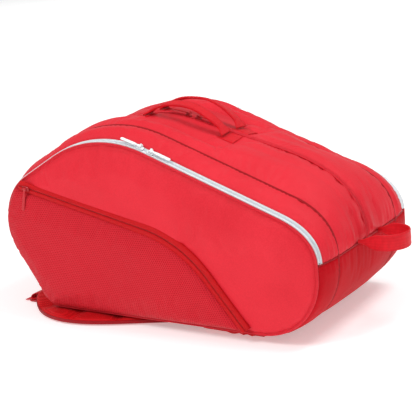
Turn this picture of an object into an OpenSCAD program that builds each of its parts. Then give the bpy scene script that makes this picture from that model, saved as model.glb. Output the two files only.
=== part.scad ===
// Racket tournament bag: three racket compartments under one domed top, a zipped pocket on each
// side, two carry handles, an end loop and two shoulder straps folded under the base.
// X runs along the bag towards the end loop, -Y faces the front pocket, +Z is up, the base pad
// rests on z = 0. Sizes are millimetres and degrees.

/* [Side profile] */
// Height of the bag's outer bottom above the ground
base_z = 20; // [17:1:26]
// X of the right end of a side panel
end_x = 354; // [330:1:430]
// X where the two top lines would meet without rounding
crest_x = -112; // [-135:1:-90]
// Height where the two top lines would meet without rounding
crest_z = 393; // [365:1:470]
// X where the left end line meets the bottom
heel_x = -268; // [-300:1:-240]
// Fall of the top towards the right end
top_slope = 20.9; // [18:0.1:24]
// Fall of the top towards the left end
shoulder_slope = 29.2; // [25:0.1:34]
// Lean of the left end below its widest point
nose_slope = 57.6; // [54:0.1:66]
// Radius over the crest
crest_r = 260; // [215:1:290]
// Radius of the left end
nose_r = 111; // [92:1:130]
// Radius of the lower left corner
heel_r = 45; // [38:1:54]
// Radius of the lower right corner
toe_r = 122; // [100:1:128]
// Length of the top's bend down to the right end seam
rump_run = 78; // [66:1:94]

/* [Width and dome] */
// Half the width between the two side panels
side_y = 190; // [175:1:230]
// Distance from the middle to each divider seam
seam_y = 127; // [105:1:140]
// How far the top rises between a side panel and a divider seam
seam_rise = 22; // [16:1:28]
// How far the ends swell between a side panel and a divider seam
seam_swell = 9; // [6:1:12]
// Fall of the top towards the right end, along the middle
centre_slope = 15.6; // [13:0.1:19]
// Drop of the crest corner along the middle
centre_drop = 5; // [3:1:8]
// Length of the bend down to the right end seam, along the middle
centre_rump_run = 160; // [135:1:175]

/* [Walls] */
// Thickness of the gussets, ends and bottom
wall_t = 5; // [4:0.5:7]
// Thickness of a padded side panel
panel_t = 8; // [6:0.5:10]
// Thickness of a divider
divider_t = 4; // [3:0.5:6]
// Thickness of the base board
board_t = 2.5; // [2:0.5:4]
// Diameter of the piping
piping_d = 5; // [4:0.5:6]
// Clearance between pieces that move past each other
gap = 0.4; // [0.3:0.1:0.8]

/* [Side openings] */
// Height of the end seams, and of the line that an opened side folds along
fold_z = 161; // [154:1:168]
// Width of half a main zip tape
tape_w = 6; // [5:0.5:8]
// Thickness of a zip tape
tape_t = 2; // [1.5:0.5:3]
// Distance from a side panel to the middle of the main zip
zip_in = 9; // [8:0.5:12]

/* [Side pocket] */
// Depth of a side pocket
pocket_t = 12; // [10.5:0.5:12.5]
// Thickness of a side pocket's cloth
pocket_wall = 3; // [2.5:0.5:4]
// Height of the pocket mouth at its left end
mouth_z = 274; // [262:1:285]
// X of the left end of the pocket mouth
mouth_x = -300; // [-305:1:-290]
// Fall of the upper stretch of the pocket mouth
mouth_slope = 13; // [11:0.5:15]
// Fall of the lower stretch of the pocket mouth
mouth_drop = 51.3; // [46:0.1:56]
// X where the pocket mouth meets the bottom
mouth_foot_x = 209; // [190:1:225]
// Radius between the two stretches of the pocket mouth
mouth_r = 240; // [200:1:260]
// Width of the pocket's zip band
band_w = 20; // [16:1:24]
// Thickness of the pocket's zip band
band_t = 8; // [7:0.5:9]

/* [Zip sliders] */
// Length of a slider
slider_l = 15; // [13:0.5:18]
// Width of a slider
slider_w = 10; // [9:0.5:12]
// Radius of the pin that a pull turns on
pull_pin_r = 1; // [0.8:0.1:1.2]
// Length of a pull, from its pin
pull_l = 46; // [38:1:55]
// Width of a pull
pull_w = 6.5; // [5:0.5:8]
// Distance between two closed sliders
slider_pitch = 24; // [22:1:29]
// Height of a slider above its tape
slider_lift = 1.2; // [1:0.1:1.6]

/* [Carry handles] */
// Width of the handle webbing
handle_w = 36; // [30:1:42]
// Thickness of the handle webbing
handle_t = 4; // [3:0.5:5]
// Distance from the middle to the inner edge of a handle
handle_in = 11; // [10:0.5:14]
// X of the left foot of a handle
handle_x0 = -95; // [-105:1:-80]
// X of the right foot of a handle
handle_x1 = 88; // [75:1:105]
// Rise of a handle above the line between its feet
handle_rise = 38; // [33:1:46]

/* [End loop] */
// Width of the loop webbing
loop_w = 30; // [25:1:36]
// Thickness of the loop webbing
loop_t = 3; // [2.5:0.5:4]
// Distance between the two legs of the loop
loop_span = 88; // [74:1:105]
// Reach of the loop from the end of the bag
loop_reach = 84; // [70:1:100]

/* [Base pad] */
// X of the right edge of the base pad
pad_right = 228; // [200:1:232]
// X of the left edge of the base pad
pad_left = -240; // [-255:1:-200]
// X where the base pad narrows between the straps
pad_step = 82; // [80:1:95]
// Half the width of the wide part of the base pad
pad_wide = 172; // [145:1:180]
// Half the width of the narrow part of the base pad
pad_narrow = 66; // [56:1:70]

/* [Shoulder straps] */
// Thickness of a strap's padding
strap_t = 12; // [10:0.5:13.5]
// Width of a strap's padding
strap_w = 62; // [52:1:74]
// X of the sewn end of a strap
strap_x0 = 46; // [38:1:60]
// Length of a strap's padding along the bag
strap_l = 392; // [330:1:400]
// Distance from the middle to a strap's ends
strap_y = 122; // [118:1:130]
// How far a strap bows out between its ends
strap_bow = 80; // [66:1:88]
// Width of the strap webbing
webbing_w = 25; // [21:1:30]
// Thickness of the strap webbing
webbing_t = 1.8; // [1.5:0.1:2.2]
// Distance from the middle to the line that a strap swings about
swing_y = 78; // [74:1:82]

/* [Hidden] */

red = [0.80, 0.09, 0.13];
deep_red = [0.66, 0.04, 0.07];
white = [0.90, 0.93, 0.94];
grey = [0.16, 0.16, 0.17];

// Steps along each rounded corner of the profile, in the order in which the profile is drawn.
rump_n = 10;
crest_n = 14;
nose_n = 12;
heel_n = 6;
toe_n = 10;
crest_i = rump_n + 1;
nose_i = crest_i + crest_n + 1;
heel_i = nose_i + nose_n + 1;
toe_i = heel_i + heel_n + 1;
outline_n = toe_i + toe_n + 1;
left_seam_i = nose_i + nose_n - 3;
round_fn = 40;
reach = 1000;

zip_y = side_y - zip_in;
face_y = side_y + gap;
outer_y = face_y + panel_t;
strap_end_x = strap_x0 - strap_l;

// ---- Geometry helpers ----

function unit(v) = v / norm(v);

// Point where the line through p at angle a meets the line through q at angle b.
function meet(p, a, q, b) =
    let (d = [cos(a), sin(a)],
         e = [cos(b), sin(b)],
         w = q - p,
         s = (e.x * w.y - w.x * e.y) / (e.x * d.y - d.x * e.y))
    p + s * d;

// Centre of the arc of radius r that rounds the corner q between p and s.
function corner_centre(p, q, s, r) =
    let (u = unit(p - q), v = unit(s - q), half = acos(u * v) / 2)
    q + unit(u + v) * r / sin(half);

// Arc of radius r about c, from angle a0 to angle a1, in n steps.
function arc(c, r, a0, a1, n) =
    [for (i = [0 : n]) let (a = a0 + (a1 - a0) * i / n) c + r * [cos(a), sin(a)]];

// Smooth bend round the corner q, from p to s, in n steps.
function bend(p, q, s, n) =
    [for (i = [0 : n]) let (t = i / n) (1 - t) * (1 - t) * p + 2 * t * (1 - t) * q + t * t * s];

// Share of the way from a side panel (0) to a divider seam (1), and from the seam to the middle.
function seam_share(y) = min(1, (side_y - abs(y)) / (side_y - seam_y));
function middle_share(y) = max(0, 1 - abs(y) / seam_y);
function blend(a, b, k) = a + (b - a) * k;
function fall_at(y) = blend(top_slope, centre_slope, middle_share(y));

// The five sharp corners of the profile at y, each wall moved in by inset:
// upper right, crest, left, lower left, lower right.
function profile_corners(y, inset) =
    let (rise = seam_rise * seam_share(y) - inset,
         swell = seam_swell * seam_share(y) - inset,
         fall = fall_at(y),
         crest = [crest_x, crest_z - centre_drop * middle_share(y)],
         top = crest + rise * [sin(fall), cos(fall)],
         shoulder = crest + rise * [-sin(shoulder_slope), cos(shoulder_slope)],
         nose = [heel_x, base_z] - swell * [sin(nose_slope), cos(nose_slope)],
         bottom = [0, base_z + inset],
         end = [end_x + swell, 0])
    [meet(end, 90, top, -fall),
     meet(top, -fall, shoulder, shoulder_slope),
     meet(shoulder, shoulder_slope, nose, -nose_slope),
     meet(nose, -nose_slope, bottom, 0),
     meet(bottom, 0, end, 90)];

function crest_radius(y, inset) = crest_r + seam_rise * seam_share(y) - inset;

// Closed outline of the bag at y, as [x, z] points, counter-clockwise from the right end seam.
// The left end's arc has a point at the height of the end seams too.
function outline(y, inset) =
    let (c = profile_corners(y, inset),
         swell = seam_swell * seam_share(y) - inset,
         fall = fall_at(y),
         run = blend(rump_run, centre_rump_run, middle_share(y)) + swell,
         crest_c = crest_centre(y),
         nose_c = corner_centre(c[1], c[2], c[3], nose_r + swell),
         seam_a = 180 + asin((nose_c.y - fold_z) / (nose_r + swell)),
         heel_c = corner_centre(c[2], c[3], c[4], heel_r - inset),
         toe_c = corner_centre(c[3], c[4], c[0], toe_r - inset),
         nose_turn = 180 + 90 - nose_slope)
    concat(
        bend([c[0].x, fold_z], c[0], c[0] + run * [-cos(fall), sin(fall)], rump_n),
        arc(crest_c, crest_radius(y, inset), 90 - fall, 90 + shoulder_slope, crest_n),
        arc(nose_c, nose_r + swell, 90 + shoulder_slope, seam_a, nose_n - 3),
        [for (i = [1 : 3])
            let (a = seam_a + (nose_turn - seam_a) * i / 3)
            nose_c + (nose_r + swell) * [cos(a), sin(a)]],
        arc(heel_c, heel_r - inset, nose_turn, 270, heel_n),
        arc(toe_c, toe_r - inset, 270, 360, toe_n));

// Centre of the crest's arc at y.
function crest_centre(y) =
    let (c = profile_corners(y, 0))
    corner_centre(c[0], c[1], c[2], crest_radius(y, 0));

// Closed solid through a list of cross-sections, each a loop with the same number of points.
module skin(sections) {
    n = len(sections[0]);
    m = len(sections);
    sides = [for (k = [0 : m - 2], i = [0 : n - 1])
        let (a = k * n + i, b = k * n + (i + 1) % n)
        each [[a, b, b + n], [a, b + n, a + n]]];
    caps = [[for (i = [n - 1 : -1 : 0]) i], [for (i = [0 : n - 1]) (m - 1) * n + i]];
    polyhedron([for (s = sections) each s], concat(sides, caps), convexity = 10);
}

// Piece of the bag's wall between two of the y values and two steps of the outline.
module wall(ys, from, to, inset0, inset1) {
    outer = [for (y = ys) outline(y, inset0)];
    inner = [for (y = ys) outline(y, inset1)];
    last = len(ys) - 1;
    skin([for (i = [from : to])
        let (k = i % outline_n)
        concat([for (j = [0 : last]) [outer[j][k].x, ys[j], outer[j][k].y]],
               [for (j = [last : -1 : 0]) [inner[j][k].x, ys[j], inner[j][k].y]])]);
}

// A flat piece with the outline at y, its faces at y0 and y1, between two heights.
module plate(y0, y1, y, inset, low, high) {
    rotate([90, 0, 0]) translate([0, 0, -y1]) linear_extrude(y1 - y0) intersection() {
        polygon(outline(y, inset));
        translate([-reach, low]) square([2 * reach, high - low]);
    }
}

module rear() { mirror([0, 1, 0]) children(); }

// ---- Shell ----

module bottom_panel() color(red)
    wall([-side_y, side_y], toe_i - 1, toe_i, 0, wall_t);

module left_end_panel() color(deep_red)
    wall([-side_y, -seam_y, seam_y, side_y], left_seam_i, toe_i - 1, 0, wall_t);

module right_end_panel() color(deep_red)
    wall([-side_y, -seam_y, seam_y, side_y], toe_i, outline_n, 0, wall_t);

module front_gusset() color(red)
    wall([-zip_y + tape_w, -seam_y], 0, left_seam_i, 0, wall_t);

module front_centre_gusset() color(red)
    wall([for (k = [0 : 3]) blend(-seam_y, -tape_w, k / 3)], 0, left_seam_i, 0, wall_t);

// Dividers fill the profile inside the walls, and the bindings cover their seams outside.
module front_divider() color(grey)
    plate(-seam_y, -seam_y + divider_t, seam_y, wall_t + gap, base_z, reach);

// They stop at the bottom, which is sewn from inside.
module seam_bindings() color(deep_red)
    for (y = [-seam_y, seam_y], run = [[0, toe_i - 1], [toe_i, outline_n]])
        wall([y - 3, y, y + 3], run[0], run[1], -1.3, -0.1);

module base_board() color(grey)
    translate([heel_x + wall_t + 20, -seam_y + divider_t + gap, base_z + wall_t])
        cube([end_x - toe_r - heel_x - wall_t - 30, 2 * (seam_y - divider_t - gap), board_t]);

// The pad is wide behind the straps and narrow between them.
module base_pad() color(deep_red) linear_extrude(base_z) {
    translate([pad_step, -pad_wide]) square([pad_right - pad_step, 2 * pad_wide]);
    translate([pad_left, -pad_narrow]) square([pad_step - pad_left, 2 * pad_narrow]);
}

// ---- Main zips ----

module centre_zip_tapes() color(deep_red)
    for (s = [-1, 1])
        wall([min(s * tape_w, s * gap / 2), max(s * tape_w, s * gap / 2)], 0, left_seam_i, 0, tape_t);

module front_inner_tape() color(white)
    wall([-zip_y + gap / 2, -zip_y + tape_w], 0, left_seam_i, 0, tape_t);

module front_outer_tape() color(white)
    intersection() {
        wall([-face_y, -zip_y - gap / 2], 0, left_seam_i, 0, tape_t);
        translate([-reach, -reach, fold_z + gap]) cube(2 * reach);
    }

// ---- Side panels, their piping and the pocket ----

module front_lower_panel() color(red)
    plate(-outer_y, -side_y, side_y, 1, 0, fold_z - gap);

module front_flap_panel() color(red)
    plate(-outer_y, -face_y, side_y, 1, fold_z + gap, reach);

// Round piping along the edge of a side panel, between two heights.
module piping(low, high) intersection() {
    difference() {
        plate(-outer_y - 1, -face_y, side_y, 1 - piping_d, 0, reach);
        plate(-outer_y - 2, -face_y + 1, side_y, 1, -reach, reach);
    }
    translate([-reach, -reach, low]) cube([2 * reach, 2 * reach, high - low]);
    translate([-reach, -outer_y + panel_t - piping_d, -reach]) cube([2 * reach, piping_d, 2 * reach]);
}

module front_lower_piping() color(deep_red) piping(base_z - piping_d, fold_z - gap);
module front_flap_piping() color(deep_red) piping(fold_z + gap, reach);

// The pocket mouth: a gentle stretch, a round bend and a steep stretch down to the bottom,
// moved up and right by shift. The shape is everything under it.
module below_mouth(shift) {
    upper = [mouth_x, mouth_z] + shift * [sin(mouth_slope), cos(mouth_slope)];
    lower = [mouth_foot_x, base_z] + shift * [sin(mouth_drop), cos(mouth_drop)];
    start = upper - reach * [cos(mouth_slope), -sin(mouth_slope)];
    end = lower + reach * [cos(mouth_drop), -sin(mouth_drop)];
    peak = meet(upper, -mouth_slope, lower, -mouth_drop);
    c = corner_centre(end, peak, start, mouth_r + shift);
    polygon(concat([[-reach, -reach], end],
                   arc(c, mouth_r + shift, 90 - mouth_drop, 90 - mouth_slope, 16), [start]));
}

// Everything on one side of the fold: the cut leans away from it outside the panel,
// so the two halves of the pocket have room when the side opens.
module fold_side(up) {
    lean = outer_y + reach;
    sign = up ? 1 : -1;
    translate([-reach, 0, 0]) rotate([90, 0, 90]) linear_extrude(2 * reach)
        polygon([[-lean, fold_z + sign * (gap + reach)], [-outer_y, fold_z + sign * gap],
                 [0, fold_z + sign * gap], [0, fold_z + sign * reach * 2],
                 [-lean, fold_z + sign * reach * 2]]);
}

// A layer of the pocket, from the side panel out to depth, inside an edge of the given width.
module pocket_layer(depth, edge, shift) {
    rotate([90, 0, 0]) translate([0, 0, outer_y]) linear_extrude(depth) intersection() {
        polygon(outline(side_y, edge));
        below_mouth(shift);
    }
}

pocket_edge = 4;

module pocket_panel() intersection() {
    difference() {
        pocket_layer(pocket_t, pocket_edge, -band_w / 2);
        translate([0, 1, 0])
            pocket_layer(pocket_t - pocket_wall + 1, pocket_edge + 7, -band_w / 2 - 7);
    }
    children();
}

module pocket_zip() intersection() {
    rotate([90, 0, 0]) translate([0, 0, outer_y]) linear_extrude(band_t) intersection() {
        polygon(outline(side_y, pocket_edge));
        difference() {
            below_mouth(band_w / 2);
            below_mouth(-band_w / 2);
        }
    }
    children();
}

module front_pocket_lower() color(red) pocket_panel() fold_side(false);
module front_pocket_upper() color(red) pocket_panel() fold_side(true);
module front_pocket_zip_lower() color(deep_red) pocket_zip() fold_side(false);
module front_pocket_zip_upper() color(deep_red) pocket_zip() fold_side(true);

// ---- Sliders and pulls ----

// A slider lies along X on its tape at z = 0. Two lugs carry the pin that the pull turns on.
pin_z = slider_lift + 6;
lug_t = 1.5;
eye_w = slider_w - 2 * lug_t - 2 * gap;
pin_clearance = 0.08;

nose_d = slider_w * 0.7;

module slider_plate() linear_extrude(3) {
    square([2 * pull_pin_r + 4, slider_w], center = true);
    for (s = [-1, 1]) translate([s * (slider_l - nose_d) / 2, 0]) circle(d = nose_d, $fn = 32);
    square([slider_l - nose_d, nose_d], center = true);
}

module slider_lug(y) {
    translate([0, y, pin_z]) rotate([90, 0, 0])
        cylinder(r = pull_pin_r + 1, h = lug_t, center = true, $fn = 32);
    translate([-pull_pin_r - 1, y - lug_t / 2, slider_lift + 2])
        cube([2 * pull_pin_r + 2, lug_t, pin_z - slider_lift - 2]);
}

// The plate is turned on its own where the pull hangs across the zip.
module slider(plate_turn = 0) {
    translate([0, 0, slider_lift]) rotate([0, 0, plate_turn]) slider_plate();
    for (s = [-1, 1]) slider_lug(s * (eye_w / 2 + gap + lug_t / 2));
    translate([0, 0, pin_z]) rotate([90, 0, 0])
        cylinder(r = pull_pin_r, h = eye_w + 2 * gap + lug_t, center = true, $fn = round_fn);
}

// A pull lies along +X from its pin. Its shank widens to a flat grip with a round end.
shank_l = 12;

module pull_blank() {
    rotate([90, 0, 0]) cylinder(r = pull_pin_r + 1.2, h = eye_w, center = true, $fn = round_fn);
    translate([0, -eye_w / 2, -1.1]) cube([shank_l, eye_w, 2.2]);
    translate([0, 0, -1.3]) linear_extrude(2.6) {
        translate([shank_l - 2, -pull_w / 2]) square([pull_l - shank_l + 2 - pull_w / 2, pull_w]);
        translate([pull_l - pull_w / 2, 0]) circle(d = pull_w, $fn = 32);
    }
}

module pull() translate([0, 0, pin_z]) difference() {
    pull_blank();
    rotate([90, 0, 0])
        cylinder(r = pull_pin_r + pin_clearance, h = eye_w + 2, center = true, $fn = round_fn);
}

// Puts its children on the bag's top at y: at "along" mm right of the crest's arc on the
// straight slope, or that far left of it round the arc when "along" is negative.
function top_back(y, along) = along < 0 ? -along / crest_radius(y, 0) * 180 / PI : 0;
function top_point(y, along) =
    let (fall = fall_at(y), a = 90 - fall + top_back(y, along))
    crest_centre(y) + crest_radius(y, 0) * [cos(a), sin(a)] + max(0, along) * [cos(fall), -sin(fall)];
function top_tilt(y) = y == 0 ? 0 : -sign(y) * atan(seam_rise / (side_y - seam_y));

module on_top(y, along) {
    p = top_point(y, along);
    translate([p.x, y, p.y]) rotate([0, fall_at(y) - top_back(y, along), 0])
        rotate([top_tilt(y), 0, 0]) children();
}

left_along = -slider_pitch * 0.6;
right_along = slider_pitch * 0.4;
module on_left(y) on_top(y, left_along) mirror([1, 0, 0]) children();
module on_right(y) on_top(y, right_along) children();

// The pocket's slider is closed at the left end of the mouth, and its pull hangs down.
pocket_slider_in = 14;
function pocket_slider_at() =
    [mouth_x + pocket_slider_in, -outer_y - band_t, mouth_z - pocket_slider_in * tan(mouth_slope)];
module on_pocket()
    translate(pocket_slider_at()) rotate([90, 0, 0]) rotate([0, 0, -90 - mouth_slope]) children();

module front_left_slider() color(white) on_left(-zip_y) slider();
module front_right_slider() color(white) on_right(-zip_y) slider();
module centre_left_slider() color(deep_red) on_left(0) slider();
module centre_right_slider() color(deep_red) on_right(0) slider();
module front_pocket_slider() color(deep_red) on_pocket() slider(90);
module front_left_pull() color(white) on_left(-zip_y) pull();
module front_right_pull() color(white) on_right(-zip_y) pull();
module centre_left_pull() color(deep_red) on_left(0) pull();
module centre_right_pull() color(deep_red) on_right(0) pull();
module front_pocket_pull() color(deep_red) on_pocket() pull();

// ---- Handles, end loop and straps ----

function top_z(x, y) =
    let (c = crest_centre(y),
         r = crest_radius(y, 0),
         fall = fall_at(y),
         bend_x = c.x + r * sin(fall),
         edge = -r * sin(shoulder_slope))
    x > bend_x ? c.y + r * cos(fall) - (x - bend_x) * tan(fall)
               : c.y + sqrt(r * r - pow(max(x - c.x, edge), 2));

// A flat webbing arch over a chord, in the XZ plane, from the left foot to the right foot.
module arch(x0, z0, x1, z1, rise, t) {
    chord = norm([x1 - x0, z1 - z0]);
    r = (chord * chord / 4 + rise * rise) / (2 * rise);
    half = asin(chord / 2 / r);
    n = 24;
    pts = [for (s = [0, 1], i = [0 : n])
        let (a = blend(-half, half, s == 0 ? i / n : 1 - i / n), q = s == 0 ? r : r - t)
        [q * sin(a), q * cos(a) - (r - rise)]];
    translate([(x0 + x1) / 2, (z0 + z1) / 2]) rotate(atan2(z1 - z0, x1 - x0)) polygon(pts);
}

handle_foot_z0 = top_z(handle_x0, handle_in);
handle_foot_z1 = top_z(handle_x1, handle_in);

handle_out = handle_in + handle_w;
patch_t = 1.8;
handle_lift = patch_t + gap + handle_t + 0.2;

// Sewn patches of webbing under the feet of both handles. They follow the top.
patch_l = 34;
patch_overhang = 10;
patch_lift = 0.2;

module handle_patch(x0, y0) {
    y1 = y0 + handle_w;
    skin([for (i = [0 : 4]) let (x = x0 + patch_l * i / 4, z0 = top_z(x, y0), z1 = top_z(x, y1))
        [[x, y0, z0 + patch_lift + patch_t], [x, y1, z1 + patch_lift + patch_t],
         [x, y1, z1 + patch_lift], [x, y0, z0 + patch_lift]]]);
}

module handle_patches() color(deep_red)
    for (x = [handle_x0 + patch_overhang - patch_l, handle_x1 - patch_overhang],
         y = [-handle_out, handle_in])
        handle_patch(x, y);

module front_handle() color(red)
    translate([0, -handle_in, 0]) rotate([90, 0, 0]) linear_extrude(handle_w)
        arch(handle_x0, handle_foot_z0 + handle_lift, handle_x1, handle_foot_z1 + handle_lift,
             handle_rise, handle_t);

// The loop starts as two pinched tips at the end seam and widens to the full webbing.
loop_z = fold_z + 4;
loop_x = end_x + seam_swell + gap;
pinch_l = 24;
pinch_w = 8;

module loop_profile() {
    r = loop_span / 2;
    straight = loop_reach - r;
    difference() {
        union() {
            translate([0, -r]) square([straight, 2 * r]);
            translate([straight, 0]) circle(r = r, $fn = 64);
        }
        translate([-1, loop_t - r]) square([straight + 1, 2 * (r - loop_t)]);
        translate([straight, 0]) circle(r = r - loop_t, $fn = 64);
    }
}

module end_loop() color(deep_red) intersection() {
    translate([loop_x, 0, loop_z - loop_w / 2]) linear_extrude(loop_w) loop_profile();
    translate([loop_x + pinch_w / 2, reach, loop_z]) rotate([90, 0, 0])
        linear_extrude(2 * reach) {
            circle(d = pinch_w, $fn = 32);
            polygon([[0, -pinch_w / 2], [pinch_l, -loop_w / 2], [reach, -loop_w / 2],
                     [reach, loop_w / 2], [pinch_l, loop_w / 2], [0, pinch_w / 2]]);
        }
}

// Centreline of a strap on the ground, k from 0 at its sewn end to 1 at its buckle.
strap_n = 32;
strap_low = 0.3;
function strap_point(k) = [strap_x0 - strap_l * k, -strap_y - strap_bow * sin(180 * pow(k, 1.5))];
function strap_normal(k) =
    let (d = unit(strap_point(k + 0.01) - strap_point(k - 0.01))) [d.y, -d.x];
// Half width of the padding: round at both ends.
function strap_half(k) = strap_w / 2 * pow(1 - pow(abs(2 * k - 1), 6), 0.4);
function strap_edge(s) =
    [for (i = [1 : strap_n - 1]) let (k = i / strap_n) strap_point(k) + s * strap_half(k) * strap_normal(k)];
function flipped(list) = [for (i = [len(list) - 1 : -1 : 0]) list[i]];

module front_strap_pad() color(deep_red)
    translate([0, 0, strap_low + webbing_t]) linear_extrude(strap_t)
    polygon(concat(strap_edge(1), flipped(strap_edge(-1))));

// The buckle lies past the padding's end. Webbing runs from it back to the lower anchor, and
// more webbing joins the padding's sewn end to the upper anchor.
buckle_l = 22;
buckle_w = webbing_w + 9;
buckle_x = strap_end_x - 4;
anchor_x = -232;
anchor_l = 26;
anchor_t = 3.5;
swing_z = base_z - anchor_t - gap - webbing_t / 2;

module front_strap_buckle() color(deep_red)
    translate([buckle_x - buckle_l, -strap_y - (webbing_w + buckle_w) / 2, strap_low]) difference() {
        cube([buckle_l, buckle_w, 4.5]);
        for (x = [3.5, 12.5])
            translate([x, (buckle_w - webbing_w - 1) / 2, -1]) cube([6, webbing_w + 1, 7]);
    }

// Webbing that lies flat and rises from y to its anchor in a slope along Y.
module webbing_riser(x, y) translate([x, 0, 0]) rotate([90, 0, 90]) linear_extrude(webbing_w)
    polygon([[y, strap_low], [-swing_y - 6, swing_z - webbing_t / 2],
             [-swing_y, swing_z - webbing_t / 2], [-swing_y, swing_z + webbing_t / 2],
             [-swing_y - 6.5, swing_z + webbing_t / 2], [y, strap_low + webbing_t]]);

module webbing_run(x0, x1, y)
    translate([x0, y - webbing_w, strap_low]) cube([x1 - x0, webbing_w, webbing_t]);

sewn_y = -strap_y + webbing_w / 2;

module front_strap_webbing() color(red) {
    webbing_riser(anchor_x, -strap_y);
    webbing_run(buckle_x - 10, anchor_x + webbing_w, -strap_y);
    webbing_riser(strap_x0 + 4, sewn_y);
    webbing_run(strap_x0 - 40, strap_x0 + 4 + webbing_w, sewn_y);
}

// Triangular wings under the bag that the straps are sewn to.
module strap_anchors() color(deep_red)
    for (s = [-1, 1], x = [anchor_x, strap_x0 + 4])
        translate([x, s > 0 ? pad_narrow + 1 : -swing_y - 5, base_z - anchor_t])
            cube([anchor_l, swing_y + 4 - pad_narrow, anchor_t]);

// ---- The model ----

bottom_panel();
base_pad();
base_board();
left_end_panel();
right_end_panel();
front_gusset();
front_centre_gusset();
rear() front_centre_gusset();  // rear_centre_gusset
rear() front_gusset();  // rear_gusset
front_divider();
rear() front_divider();  // rear_divider
seam_bindings();
centre_zip_tapes();
front_inner_tape();
rear() front_inner_tape();  // rear_inner_tape
front_lower_panel();
rear() front_lower_panel();  // rear_lower_panel
front_lower_piping();
rear() front_lower_piping();  // rear_lower_piping
front_pocket_lower();
rear() front_pocket_lower();  // rear_pocket_lower
front_pocket_zip_lower();
rear() front_pocket_zip_lower();  // rear_pocket_zip_lower
strap_anchors();
front_flap_panel();
rear() front_flap_panel();  // rear_flap_panel
front_flap_piping();
rear() front_flap_piping();  // rear_flap_piping
front_outer_tape();
rear() front_outer_tape();  // rear_outer_tape
front_pocket_upper();
rear() front_pocket_upper();  // rear_pocket_upper
front_pocket_zip_upper();
rear() front_pocket_zip_upper();  // rear_pocket_zip_upper
front_left_slider();
front_right_slider();
rear() front_left_slider();  // rear_left_slider
rear() front_right_slider();  // rear_right_slider
centre_left_slider();
centre_right_slider();
front_pocket_slider();
rear() front_pocket_slider();  // rear_pocket_slider
front_left_pull();
front_right_pull();
rear() front_left_pull();  // rear_left_pull
rear() front_right_pull();  // rear_right_pull
centre_left_pull();
centre_right_pull();
front_pocket_pull();
rear() front_pocket_pull();  // rear_pocket_pull
handle_patches();
front_handle();
rear() front_handle();  // rear_handle
end_loop();
front_strap_pad();
rear() front_strap_pad();  // rear_strap_pad
front_strap_webbing();
rear() front_strap_webbing();  // rear_strap_webbing
front_strap_buckle();
rear() front_strap_buckle();  // rear_strap_buckle
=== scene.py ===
"""A racket tournament bag: three zipped racket compartments under one domed top.

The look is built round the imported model. X runs along the bag towards the end loop, -Y faces the
front pocket and Z is up. Everything is in metres, in the model's own frame.
"""
import math

import bpy
import numpy as np
from mathutils import Matrix, Vector, geometry


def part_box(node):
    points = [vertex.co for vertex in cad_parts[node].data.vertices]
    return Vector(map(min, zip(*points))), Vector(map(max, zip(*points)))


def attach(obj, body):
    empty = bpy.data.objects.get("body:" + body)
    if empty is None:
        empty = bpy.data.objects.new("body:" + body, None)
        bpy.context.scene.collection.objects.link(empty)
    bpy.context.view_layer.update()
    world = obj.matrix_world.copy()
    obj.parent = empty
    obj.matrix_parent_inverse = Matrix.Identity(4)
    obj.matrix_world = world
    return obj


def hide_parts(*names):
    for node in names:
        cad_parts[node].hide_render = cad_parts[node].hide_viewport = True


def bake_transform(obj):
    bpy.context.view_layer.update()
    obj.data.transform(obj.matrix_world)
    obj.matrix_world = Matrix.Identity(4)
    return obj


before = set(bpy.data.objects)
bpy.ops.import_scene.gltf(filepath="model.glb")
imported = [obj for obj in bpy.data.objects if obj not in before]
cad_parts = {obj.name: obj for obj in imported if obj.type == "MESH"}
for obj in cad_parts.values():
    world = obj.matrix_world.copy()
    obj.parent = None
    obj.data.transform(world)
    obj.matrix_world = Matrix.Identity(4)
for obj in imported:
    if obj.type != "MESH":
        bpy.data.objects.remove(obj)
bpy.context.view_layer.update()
scene = bpy.context.scene
scene.view_settings.view_transform = "Standard"

MM = 0.001
SIDES = {"front": -1.0, "rear": 1.0}
UPWARD = np.array([0, 0, 1.0])

# ---- Camera ----

CAMERA_AZIMUTH = 33.52
CAMERA_ELEVATION = 14.72
CAMERA_ROLL = -5.15
CAMERA_DISTANCE = 2.363
CAMERA_LENS = 100.2
CAMERA_TARGET = np.array([0.010, 0.0, 0.194])


def place_camera():
    """Look at the bag from its front right, with the camera tipped a little about its own axis."""
    az, el, roll = np.radians([CAMERA_AZIMUTH, CAMERA_ELEVATION, CAMERA_ROLL])
    back = np.array([np.sin(az) * np.cos(el), -np.cos(az) * np.cos(el), np.sin(el)])
    level = np.array([np.cos(az), np.sin(az), 0.0])
    rise = np.cross(back, level)
    right = np.cos(roll) * level + np.sin(roll) * rise
    up = -np.sin(roll) * level + np.cos(roll) * rise
    data = bpy.data.cameras.new("camera")
    data.lens = CAMERA_LENS
    data.sensor_width = 36.0
    data.clip_end = 50.0
    camera = bpy.data.objects.new("camera", data)
    scene.collection.objects.link(camera)
    pose = np.eye(4)
    pose[:3, 0], pose[:3, 1], pose[:3, 2] = right, up, back
    pose[:3, 3] = CAMERA_TARGET + back * CAMERA_DISTANCE
    camera.matrix_world = Matrix(pose.tolist())
    scene.camera = camera


place_camera()

# ---- The bag's sizes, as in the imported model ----

BASE_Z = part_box("bottom_panel")[0][2]
FOLD_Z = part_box("right_end_panel")[1][2]
ZIP_BAND_W = 0.015
SIDE_Y = ZIP_BAND_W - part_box("front_gusset")[0][1]
SEAM_Y = -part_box("front_gusset")[1][1]
PANEL_Y = -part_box("front_flap_panel")[0][1]
END_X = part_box("front_lower_panel")[1][0] + 0.001
ZIP_Y = SIDE_Y - 0.009

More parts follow.
